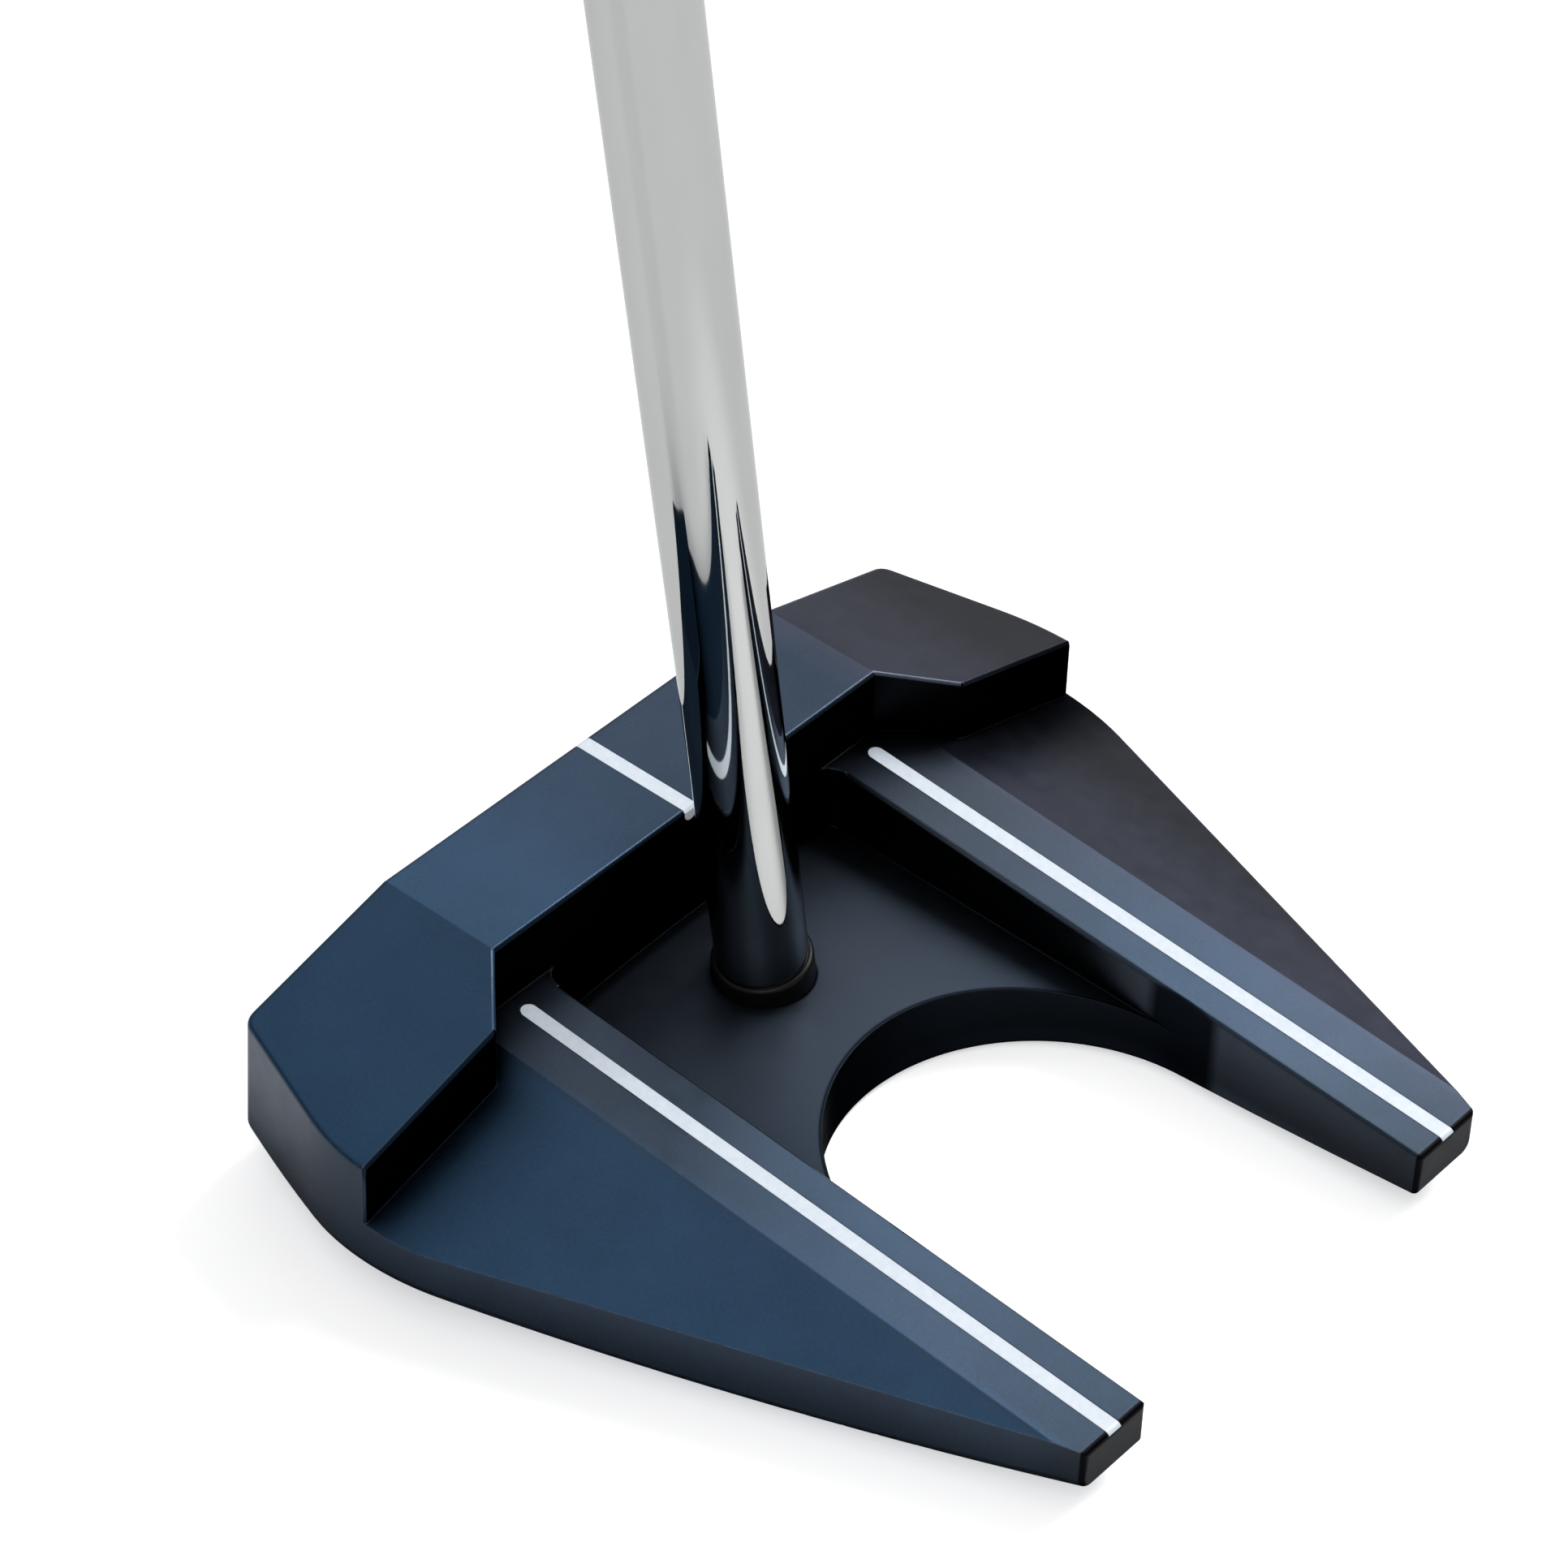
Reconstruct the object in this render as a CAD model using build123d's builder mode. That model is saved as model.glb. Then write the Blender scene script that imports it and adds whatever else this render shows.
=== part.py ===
"""Mallet putter: winged head with a face insert, sole weights and sole plate, shaft and grip.

Millimetres. x = 0 is the middle of the head, +X towards the toe; +Y is the way the face looks,
y = 0 just behind the top edge of the face; z = 0 is the ground under the lowest point of the sole.
The shaft leans towards the heel (-X).
"""
from build123d import *
import os
from math import sin, cos, tan, radians, sqrt

os.makedirs("parts", exist_ok=True)

# ---------------------------------------------------------------- driving dimensions
# front bar
TOP_Z = 24.2            # height of the bar's top at y = 0
TOP_PITCH = 0.030       # fall of the bar's top towards the back, mm per mm
MID_HALF = 28.8         # half width of the middle part of the top
END_PITCH = 0.285       # fall of the heel and toe facets, mm per mm
BAR_REAR_MID = -14.0    # back wall of the bar between the two shoulders
BAR_REAR_END = -20.3    # back wall of the bar at heel and toe
SHOULDER_X = 35.5       # where the slanting shoulder meets the end part
LOFT = 3.5              # loft of the face, degrees
FACE_Y = 0.75           # top edge of the face

# plan outline
FRONT_X, FRONT_Y = 47.10, 4   # front corner of the outline, trimmed later by the face
APEX = (55.45, -20.24)  # corner of the two straight outline lines, rounded below
APEX_R = 25.0
TIP_OUT_X = 30.90       # outer corner of each wing tip
TIP_Y = -89.3
FRONT_CORNER_R = 1.8
SOLE_EDGE_R = 1.5
TIP_EDGE_R = 0.6
TOP_EDGE_R = 0.6
REAR_BEVEL = 0.3
CUT_EDGE_R = 0.4

# ribs and wings
RIB_IN = 21.8           # inner wall of each rib, and half the gap between the wings
RIB_Z0, RIB_PITCH = 17.578, 0.1045      # top of the ribs: z = RIB_Z0 + RIB_PITCH * y
WING_Z0, WING_X, WING_PITCH = 26.59, 0.2815, 0.1047   # wing: z = Z0 - WING_X*|x| + WING_PITCH*y
RIB_BEVEL = 0.5         # side of the square bar that breaks the ribs' inner edges
RIB_BEVEL_Y = -16.2     # front end of that bevel

# plate between the ribs
PLATE_Z, PLATE_Y, PLATE_PITCH = 8.74, -38.0, 0.041  # height at PLATE_Y, fall towards the back
PLATE_R = 166.7         # crown of the plate across the head
PLATE_CORNER_R = 2.0    # corners where the ribs meet the bar
CUT_R = RIB_IN          # round end of the cut-out
CUT_Y = -60.2           # its centre
CUT_LENGTH = 50         # straight part behind the centre

# cutting shapes reach past the head
CUT_SIDE_X, CUT_REAR_Y = 70, -100
CUT_FLOOR_Z, CUT_HEIGHT = -2, 40
WING_CUT_IN_X = 5       # inner side of the cut over each wing
PLATE_CUT_Y, PLATE_CUT_HEIGHT, PLATE_CUT_LENGTH = -8, 24, 92

# sole
SOLE_R = 850.0          # front-to-back camber behind SOLE_Y, the lowest line
SOLE_FRONT_R = 75.0     # roll of the sole up to the leading edge
SOLE_Y = -16.0
SOLE_FLAT = 30.0        # half width of the sole's straight middle
SOLE_END_R = 80.0       # heel and toe camber
SOLE_CUT_X, SOLE_CUT_Z = 75.0, -12      # half width and bottom of the cutting section

# sight lines
LINE_W = 1.8
LINE_DEEP = 0.35
CENTRE_LINE_Y, CENTRE_LINE_LENGTH = -5.0, 24.0
CENTRE_LINE_DROP = 3.0  # height of the slot in the back wall
RIB_LINE_X = 26.5
RIB_LINE_FRONT, RIB_LINE_REAR = -15.6, -92.0

# face insert
INSERT_W, INSERT_H, INSERT_CZ = 76.0, 15.5, 12.6
ADHESIVE_T, BACKER_T, STRIKE_T = 0.2, 1.6, 2.4
INSERT_DEPTH = ADHESIVE_T + BACKER_T + STRIKE_T
ADHESIVE_GAP = 1.0      # shortfall of the adhesive's width and height
INSERT_GAP = 0.1        # the same for the two layers
KEY_PITCH, KEY_COUNT = 5.0, 13
KEY_LENGTH, KEY_W, KEY_DEEP = 11.0, 1.6, 0.5
MILL_PITCH, MILL_W, MILL_DEEP = 1.45, 0.55, 0.22
MILL_SIDE = 4           # milled lines above and below the middle one

# shaft
LEAN = 9.5              # lean of the shaft towards the heel, degrees from vertical
BASE = (-1.06, -24.97, 9.30)   # shaft axis at the plate's surface
SEAT = -0.95            # floor of the spot face, along the shaft axis
TIP_R = 4.70            # 0.370 in tip
TAPER = 0.0030          # growth of the radius along the shaft, mm per mm
WALL = 0.45
SHAFT_END = 877.0       # butt of the shaft, along its axis
SPUD_R, SPUD_LEN, SHANK_R, SHANK_LEN = 4.15, 28.0, 3.0, 4.6
SPUD_CHAMFER, SHANK_CHAMFER = 0.8, 0.3
FERRULE_R, FERRULE_END = 5.20, 2.7
FERRULE_GAP = 0.02      # between ferrule and shaft
SPOT_GAP, SPOT_HEIGHT = 0.08, 6.0       # spot face round the ferrule
BAND_0, BAND_1, BAND_T = 545.0, 577.0, 0.08

# sole weights (M12 x 1.25)
WEIGHT_X, WEIGHT_Y = 34.5, -11.2
PORT_R, SCREW_R, SCREW_ROOT = 6.00, 5.95, 5.25
PITCH = 1.25
CBORE_R, CBORE_Z = 7.90, 4.60
HEAD_R, HEAD_Z0, HEAD_Z1 = 7.80, 1.10, 4.05
HEAD_CHAMFER = 0.5
NECK_R = SCREW_ROOT + 0.3
SCREW_TOP = 12.6
SCREW_CHAMFER = 0.4
PORT_TOP = 13.4
WASHER_IN = 6.05
LOBE_CIRCLE_R, LOBE_R, SOCKET_DEEP = 1.95, 0.62, 2.6
RING_OUT_R, RING_IN_R, RING_DEEP = 5.5, 4.7, 0.3

# sole plate
SP_W, SP_Y0, SP_Y1, SP_R, SP_TOP = 49.0, -5.5, -34.8, 5.0, 3.2
SP_LENGTH = SP_Y0 - SP_Y1
SP_CENTRE = (0, 0.5 * (SP_Y0 + SP_Y1))
SP_GAP = 0.08           # gap round the plate in its recess
SP_FLAT_Z = 0.12        # flat on the plate's underside
SP_SCREWS = [(20.0, -10.0), (-20.0, -10.0), (20.0, -30.3), (-20.0, -30.3)]
SP_SCREW_Z = 0.15       # base of the screws and their countersinks
SP_HOLE_R, SP_HEAD_R, SP_SCREW_LEN = 1.50, 2.80, 6.2
SP_HEAD_SINK = 0.12     # screw head's flat above SP_SCREW_Z
SP_SCREW_CHAMFER = 0.3
SP_HOLE_EXTRA = 0.6     # hole beyond the screw's length
HEX_R, HEX_TOP = 1.0, 1.6
PANEL_W, PANEL_LENGTH, PANEL_R, PANEL_Z = 30.0, 17.0, 2.5, 0.3
CAVITY_W, CAVITY_MARGIN, CAVITY_R = 31.0, 9.0, 3.0
CAVITY_OVERLAP, CAVITY_HEIGHT = 0.1, 1.9
BOSS_R, BOSS_DROP = 6.5, 5.0    # pillar left in the cavity, centred on the shaft axis below BASE

# grip: stations along the shaft; width is along y, depth runs from heel side to toe side
GRIP_SECTIONS = [
    # station, width, depth, heel-side radius, toe-side radius
    (612.0, 22.0, 21.6, 9.6, 6.0),
    (640.0, 24.4, 23.4, 10.6, 6.0),
    (720.0, 26.4, 24.6, 11.4, 5.6),
    (800.0, 28.6, 26.8, 12.4, 5.4),
    (850.0, 30.4, 30.2, 13.4, 5.6),
    (879.0, 31.0, 31.6, 13.8, 6.0),
]
GRIP_0, GRIP_1 = GRIP_SECTIONS[0][0], GRIP_SECTIONS[-1][0]
WRAP_T = 1.5
GRIP_TAPE_T = 0.15
GRIP_TAPE_INSET = 4     # tape starts this far inside the grip
GRIP_BORE_EXTRA = 5     # bore runs past both ends of the core
CAP_T, CAP_EDGE_R, CAP_HOLE_R = 4.0, 1.4, 1.4


# ---------------------------------------------------------------- planes and helpers
def slope_plane(z0, slope_x, slope_y):
    """Plane z = z0 + slope_x*x + slope_y*y with its normal pointing up."""
    return Plane(origin=(0, 0, z0), x_dir=(1, 0, slope_x), z_dir=(-slope_x, -slope_y, 1))


def upright_plane(x, y, z=0):
    """Vertical plane looking back: local x is +X, local y is +Z."""
    return Plane(origin=(x, y, z), x_dir=(1, 0, 0), z_dir=(0, -1, 0))


def shaft_plane(station):
    """Plane square to the shaft's axis: local x is +Y, local y is towards the heel."""
    lean = radians(LEAN)
    return Plane(origin=(BASE[0] - sin(lean) * station, BASE[1], BASE[2] + cos(lean) * station),
                 x_dir=(0, 1, 0), z_dir=(-sin(lean), 0, cos(lean)))


def shaft_profile_plane():
    """Plane through the shaft's axis: local x is radial, local y runs up the shaft."""
    lean = radians(LEAN)
    return Plane(origin=BASE, x_dir=(0, 1, 0), z_dir=(cos(lean), 0, sin(lean)))


SHAFT_AXIS = Axis(BASE, (-sin(radians(LEAN)), 0, cos(radians(LEAN))))
# local y of the face plane runs down the face
FACE = Plane(origin=(0, FACE_Y, TOP_Z), x_dir=(1, 0, 0),
             z_dir=(0, cos(radians(LOFT)), sin(radians(LOFT))))
INSERT_CENTRE_DOWN = (TOP_Z - INSERT_CZ) / cos(radians(LOFT))   # from the top edge down the face


def shaft_radius(station):
    """Outer radius of the shaft at a station above BASE."""
    return TIP_R + TAPER * station


def mirrored(points):
    """Toe-side points carried to the heel side, in reverse so that an outline runs on."""
    return [(-x, y) for x, y in reversed(points)]


def save(part, name):
    part.label = name
    export_step(part, f"parts/{name}.step")


# ---------------------------------------------------------------- cutting shapes
def end_camber_rise(run):
    """Rise of the sole, run mm outside its straight middle."""
    return SOLE_END_R - sqrt(SOLE_END_R ** 2 - run ** 2)


# everything under the sole: straight in the middle, rounded up towards heel and toe, and
# cambered front to back
with BuildPart() as below_sole:
    end_z = end_camber_rise(SOLE_CUT_X - SOLE_FLAT)
    half_run = 0.5 * (SOLE_CUT_X - SOLE_FLAT)
    half_z = end_camber_rise(half_run)
    for turn, radius, arc in ((1, SOLE_FRONT_R, 18.0), (-1, SOLE_R, 5.5)):
        with BuildSketch(upright_plane(0, SOLE_Y)):
            with BuildLine():
                ThreePointArc((-SOLE_CUT_X, end_z), (-SOLE_FLAT - half_run, half_z),
                              (-SOLE_FLAT, 0))
                Line((-SOLE_FLAT, 0), (SOLE_FLAT, 0))
                ThreePointArc((SOLE_FLAT, 0), (SOLE_FLAT + half_run, half_z), (SOLE_CUT_X, end_z))
                Polyline((SOLE_CUT_X, end_z), (SOLE_CUT_X, SOLE_CUT_Z),
                         (-SOLE_CUT_X, SOLE_CUT_Z), (-SOLE_CUT_X, end_z))
            make_face()
        revolve(axis=Axis((0, SOLE_Y, radius), (turn, 0, 0)), revolution_arc=arc)

# toe half of the bar's back wall, carried round outside the head
BAR_REAR = [(MID_HALF, BAR_REAR_MID), (SHOULDER_X, BAR_REAR_END),
            (CUT_SIDE_X, BAR_REAR_END), (CUT_SIDE_X, CUT_REAR_Y)]


def space_over(outline, surface):
    """Space inside a plan outline and above a sloping surface."""
    with BuildPart() as space:
        with BuildSketch(Plane.XY.offset(CUT_FLOOR_Z)):
            Polygon(*outline, align=None)
        extrude(amount=CUT_HEIGHT)
        split(bisect_by=surface, keep=Keep.TOP)
    return space.part


def space_over_wing(side):
    """Space behind the bar over one wing; side is 1 at the toe, -1 at the heel."""
    outline = [(side * WING_CUT_IN_X, BAR_REAR_MID),
               *[(side * x, y) for x, y in BAR_REAR],
               (side * WING_CUT_IN_X, CUT_REAR_Y)]
    return space_over(outline, slope_plane(WING_Z0, -side * WING_X, WING_PITCH))


over_ribs = space_over([(0, BAR_REAR_MID), *BAR_REAR, *mirrored(BAR_REAR)],
                       slope_plane(RIB_Z0, 0, RIB_PITCH))
over_toe_wing = space_over_wing(1)
over_heel_wing = space_over_wing(-1)

# space between the ribs, over the crowned plate
with BuildPart() as over_plate:
    front_z = PLATE_Z + PLATE_PITCH * (PLATE_CUT_Y - PLATE_Y)
    crown_drop = RIB_IN ** 2 / (2 * PLATE_R)
    with BuildSketch(Plane(origin=(0, PLATE_CUT_Y, front_z), x_dir=(1, 0, 0),
                           z_dir=(0, -1, -PLATE_PITCH))):
        with BuildLine():
            ThreePointArc((-RIB_IN, -crown_drop), (0, 0), (RIB_IN, -crown_drop))
            Polyline((RIB_IN, -crown_drop), (RIB_IN, PLATE_CUT_HEIGHT),
                     (-RIB_IN, PLATE_CUT_HEIGHT), (-RIB_IN, -crown_drop))
        make_face()
    extrude(amount=PLATE_CUT_LENGTH)
    split(bisect_by=upright_plane(0, BAR_REAR_MID), keep=Keep.TOP)
    fillet(over_plate.edges().filter_by(Axis.Z).filter_by_position(
        Axis.Y, BAR_REAR_MID - 0.1, BAR_REAR_MID + 0.1), radius=PLATE_CORNER_R)

# the cut-out between the wings
with BuildPart() as cut_out:
    with BuildSketch(Plane.XY.offset(-5)):
        with Locations((0, CUT_Y)):
            Circle(CUT_R)
        with Locations((0, CUT_Y - CUT_LENGTH / 2)):
            Rectangle(2 * CUT_R, CUT_LENGTH)
    extrude(amount=CUT_HEIGHT)

# broken inner edges of the ribs
with BuildPart() as rib_bevels:
    for side in (-1, 1):
        with BuildSketch(Plane(origin=(side * RIB_IN, RIB_BEVEL_Y, RIB_Z0 + RIB_PITCH * RIB_BEVEL_Y),
                               x_dir=(1, 0, 0), z_dir=(0, -1, -RIB_PITCH))):
            Rectangle(RIB_BEVEL, RIB_BEVEL, rotation=45)
        extrude(amount=76)

# groove of the centre sight line, along the bar's top and down its back wall
with BuildPart() as centre_groove:
    with BuildSketch(slope_plane(TOP_Z - LINE_DEEP, 0, TOP_PITCH)):
        with Locations((0, CENTRE_LINE_Y)):
            Rectangle(LINE_W, CENTRE_LINE_LENGTH)
    extrude(amount=2.0)
    with BuildSketch(upright_plane(0, BAR_REAR_MID)):
        with Locations((0, TOP_Z + TOP_PITCH * BAR_REAR_MID)):
            SlotOverall(CENTRE_LINE_DROP, LINE_W, rotation=90)
    extrude(amount=-LINE_DEEP)


def rib_groove(x):
    """Groove of the sight line on the rib at x."""
    with BuildPart() as groove:
        with BuildSketch(slope_plane(RIB_Z0 - LINE_DEEP, 0, RIB_PITCH)):
            with Locations((x, 0.5 * (RIB_LINE_FRONT + RIB_LINE_REAR))):
                SlotOverall(RIB_LINE_FRONT - RIB_LINE_REAR, LINE_W, rotation=90)
        extrude(amount=1.5)
    return groove.part


GROOVES = {
    "centre": centre_groove.part,
    "heel": rib_groove(-RIB_LINE_X),
    "toe": rib_groove(RIB_LINE_X),
}


# ---------------------------------------------------------------- edges of the head
def is_front_corner(edge):
    middle = edge.center()
    return middle.Y > 0.3 and 45 < abs(middle.X) < 50 and 8 < middle.Z < 13


def is_outer_sole_edge(edge):
    """Low outside edge, leaving out the seam across the sole at SOLE_Y."""
    middle = edge.center()
    return (middle.Z < 4.2 and middle.Y > -88.9 and (middle.Y > 0.0 or abs(middle.X) > 40)
            and abs(middle.Y - SOLE_Y) > 0.1)


def is_wing_tip_edge(edge):
    return abs(edge.center().Y - TIP_Y) < 0.01


def is_bar_top_edge(edge):
    """Top edge at the front or the ends of the bar."""
    middle = edge.center()
    return (middle.Z > 17 and middle.Y > -0.3) or (middle.Z > 15.5 and abs(middle.X) > 46)


def is_bar_rear_edge(edge):
    """Top back edge of the bar, or an upright edge of its back wall towards heel and toe."""
    middle = edge.center()
    rise = abs(edge.tangent_at(0.5).Z)
    top = middle.Z > 18.4 and middle.Y < -13.9 and rise < 0.5
    upright = (10 < middle.Z < 19 and middle.Y < -20
               and (abs(middle.X) > 50 or 35 < abs(middle.X) < 36) and rise > 0.9)
    return top or upright


def is_low_inner_edge(edge):
    """Lower edge of the cut-out and of the inner walls."""
    middle = edge.center()
    return ((abs(middle.X) < 0.1 or abs(abs(middle.X) - RIB_IN) < 0.1)
            and middle.Y < -30 and middle.Z < 2.6)


# ---------------------------------------------------------------- head
with BuildPart() as head_body:
    toe_outline = [(FRONT_X, FRONT_Y), APEX, (TIP_OUT_X, TIP_Y)]
    facet_z0 = TOP_Z + END_PITCH * MID_HALF
    with BuildSketch(Plane.XY.offset(-1)):
        Polygon(*toe_outline, *mirrored(toe_outline), align=None)
        fillet(vertices().group_by(Axis.X)[-1] + vertices().group_by(Axis.X)[0], radius=APEX_R)
    extrude(amount=30)
    split(bisect_by=slope_plane(TOP_Z, 0, TOP_PITCH), keep=Keep.BOTTOM)
    split(bisect_by=slope_plane(facet_z0, -END_PITCH, TOP_PITCH), keep=Keep.BOTTOM)
    split(bisect_by=slope_plane(facet_z0, END_PITCH, TOP_PITCH), keep=Keep.BOTTOM)
    split(bisect_by=FACE, keep=Keep.BOTTOM)
    for cutter in (over_ribs, over_toe_wing, over_heel_wing, over_plate.part, cut_out.part,
                   below_sole.part):
        add(cutter, mode=Mode.SUBTRACT)
    fillet(head_body.edges().filter_by(is_front_corner), radius=FRONT_CORNER_R)
    fillet(head_body.edges().filter_by(is_outer_sole_edge), radius=SOLE_EDGE_R)
    fillet(head_body.edges().filter_by(is_wing_tip_edge), radius=TIP_EDGE_R)
    fillet(head_body.edges().filter_by(is_bar_top_edge), radius=TOP_EDGE_R)
    chamfer(head_body.edges().filter_by(is_bar_rear_edge), length=REAR_BEVEL)
    fillet(head_body.edges().filter_by(is_low_inner_edge), radius=CUT_EDGE_R)
    add(rib_bevels.part, mode=Mode.SUBTRACT)
    # the bare shape, before grooves and pockets, is kept to trim the paint of the sight lines
    bare_head = head_body.part

    # pocket for the face insert
    with BuildSketch(FACE):
        with Locations((0, INSERT_CENTRE_DOWN)):
            SlotOverall(INSERT_W, INSERT_H)
    extrude(amount=-INSERT_DEPTH, mode=Mode.SUBTRACT)

    # recess for the sole plate, and the light-weighting cavity above it
    with BuildSketch(Plane.XY.offset(CUT_FLOOR_Z)):
        with Locations(SP_CENTRE):
            RectangleRounded(SP_W + 2 * SP_GAP, SP_LENGTH + 2 * SP_GAP, SP_R + SP_GAP)
    extrude(amount=SP_TOP - CUT_FLOOR_Z, mode=Mode.SUBTRACT)
    with BuildSketch(Plane.XY.offset(SP_TOP - CAVITY_OVERLAP)):
        with Locations(SP_CENTRE):
            RectangleRounded(CAVITY_W, SP_LENGTH - CAVITY_MARGIN, CAVITY_R)
        with Locations((BASE[0] + tan(radians(LEAN)) * BOSS_DROP, BASE[1])):
            Circle(BOSS_R, mode=Mode.SUBTRACT)
    extrude(amount=CAVITY_HEIGHT, mode=Mode.SUBTRACT)
    for x, y in SP_SCREWS:
        with Locations(Plane(origin=(x, y, SP_TOP), z_dir=(0, 0, -1))):
            Hole(radius=SP_HOLE_R, depth=SP_SCREW_LEN - SP_TOP + SP_HOLE_EXTRA)

    # ports for the sole weights
    for side in (-1, 1):
        for port_radius, port_top in ((CBORE_R, CBORE_Z), (PORT_R, PORT_TOP)):
            with BuildSketch(Plane.XY.offset(CUT_FLOOR_Z)):
                with Locations((side * WEIGHT_X, WEIGHT_Y)):
                    Circle(port_radius)
            extrude(amount=port_top - CUT_FLOOR_Z, mode=Mode.SUBTRACT)

    # spot face for the shaft's collar, and the bore for the shaft post
    with BuildSketch(shaft_plane(SEAT)):
        Circle(FERRULE_R + SPOT_GAP)
    extrude(amount=SPOT_HEIGHT, mode=Mode.SUBTRACT)
    with BuildSketch(shaft_plane(SEAT - SHANK_LEN)):
        Circle(SHANK_R)
    extrude(amount=SHANK_LEN + 0.5, mode=Mode.SUBTRACT)
    for groove in GROOVES.values():
        add(groove, mode=Mode.SUBTRACT)
save(head_body.part, "head_body")

# ---------------------------------------------------------------- sight lines (paint in grooves)
for place, groove in GROOVES.items():
    with BuildPart() as sight_line:
        add(groove)
        add(bare_head, mode=Mode.INTERSECT)
    save(sight_line.part, f"sight_line_{place}")

# ---------------------------------------------------------------- face insert
with BuildPart() as face_insert_adhesive:
    with BuildSketch(FACE.offset(-INSERT_DEPTH)):
        with Locations((0, INSERT_CENTRE_DOWN)):
            SlotOverall(INSERT_W - ADHESIVE_GAP, INSERT_H - ADHESIVE_GAP)
    extrude(amount=ADHESIVE_T)
save(face_insert_adhesive.part, "face_insert_adhesive")

with BuildPart() as face_insert_backer:
    with BuildSketch(FACE.offset(-(BACKER_T + STRIKE_T))):
        with Locations((0, INSERT_CENTRE_DOWN)):
            SlotOverall(INSERT_W - INSERT_GAP, INSERT_H - INSERT_GAP)
    extrude(amount=BACKER_T)
    # row of upright slots in the front side that key the two layers together
    with BuildSketch(FACE.offset(-STRIKE_T)):
        with Locations((0, INSERT_CENTRE_DOWN)):
            with GridLocations(KEY_PITCH, 1, KEY_COUNT, 1):
                SlotOverall(KEY_LENGTH, KEY_W, rotation=90)
    extrude(amount=-KEY_DEEP, mode=Mode.SUBTRACT)
save(face_insert_backer.part, "face_insert_backer")

with BuildPart() as face_insert_striking_layer:
    with BuildSketch(FACE.offset(-STRIKE_T)):
        with Locations((0, INSERT_CENTRE_DOWN)):
            SlotOverall(INSERT_W - INSERT_GAP, INSERT_H - INSERT_GAP)
    extrude(amount=STRIKE_T)
    # keys that fill the backer's slots
    with BuildSketch(FACE.offset(-STRIKE_T)):
        with Locations((0, INSERT_CENTRE_DOWN)):
            with GridLocations(KEY_PITCH, 1, KEY_COUNT, 1):
                SlotOverall(KEY_LENGTH, KEY_W, rotation=90)
    extrude(amount=-KEY_DEEP)
    # fine milled lines on the front, shorter towards the top and bottom
    for n in range(-MILL_SIDE, MILL_SIDE + 1):
        half_length = INSERT_W / 2 - 4.5 - 0.45 * abs(n) ** 1.6
        with BuildSketch(FACE):
            with Locations((0, INSERT_CENTRE_DOWN + MILL_PITCH * n)):
                SlotOverall(2 * half_length, MILL_W)
        extrude(amount=-MILL_DEEP, mode=Mode.SUBTRACT)
save(face_insert_striking_layer.part, "face_insert_striking_layer")


# ---------------------------------------------------------------- sole weights
def weight_screw_profile():
    """Half section (radius, z) of a weight screw: head, neck, ridges of the thread, end."""
    points = [(0, HEAD_Z0), (HEAD_R - HEAD_CHAMFER, HEAD_Z0), (HEAD_R, HEAD_Z0 + HEAD_CHAMFER),
              (HEAD_R, HEAD_Z1), (NECK_R, HEAD_Z1), (NECK_R, HEAD_Z1 + 0.55)]
    z = HEAD_Z1 + 0.75
    while z + PITCH < SCREW_TOP - SCREW_CHAMFER:
        points += [(SCREW_ROOT, z), (SCREW_R, z + 0.45 * PITCH), (SCREW_R, z + 0.58 * PITCH)]
        z += PITCH
    points += [(SCREW_ROOT, z), (SCREW_ROOT, SCREW_TOP - SCREW_CHAMFER),
               (SCREW_ROOT - SCREW_CHAMFER, SCREW_TOP), (0, SCREW_TOP)]
    return points


for name, side in (("heel", -1), ("toe", 1)):
    centre = (side * WEIGHT_X, WEIGHT_Y)
    with BuildPart() as weight_screw:
        with BuildSketch(upright_plane(*centre)):
            with BuildLine():
                Polyline(*weight_screw_profile(), close=True)
            make_face()
        revolve(axis=Axis((*centre, 0), (0, 0, 1)))
        # six-lobe socket
        with BuildSketch(Plane.XY.offset(HEAD_Z0)):
            with Locations(centre):
                Circle(LOBE_CIRCLE_R)
                with PolarLocations(LOBE_CIRCLE_R, 6):
                    Circle(LOBE_R)
        extrude(amount=SOCKET_DEEP, mode=Mode.SUBTRACT)
        # shallow ring round the socket
        with BuildSketch(Plane.XY.offset(HEAD_Z0)):
            with Locations(centre):
                Circle(RING_OUT_R)
                Circle(RING_IN_R, mode=Mode.SUBTRACT)
        extrude(amount=RING_DEEP, mode=Mode.SUBTRACT)
    save(weight_screw.part, f"{name}_weight_screw")

    with BuildPart() as weight_washer:
        with BuildSketch(Plane.XY.offset(HEAD_Z1)):
            with Locations(centre):
                Circle(HEAD_R - 0.1)
                Circle(WASHER_IN, mode=Mode.SUBTRACT)
        extrude(amount=CBORE_Z - HEAD_Z1 - 0.02)
    save(weight_washer.part, f"{name}_weight_washer")

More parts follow.
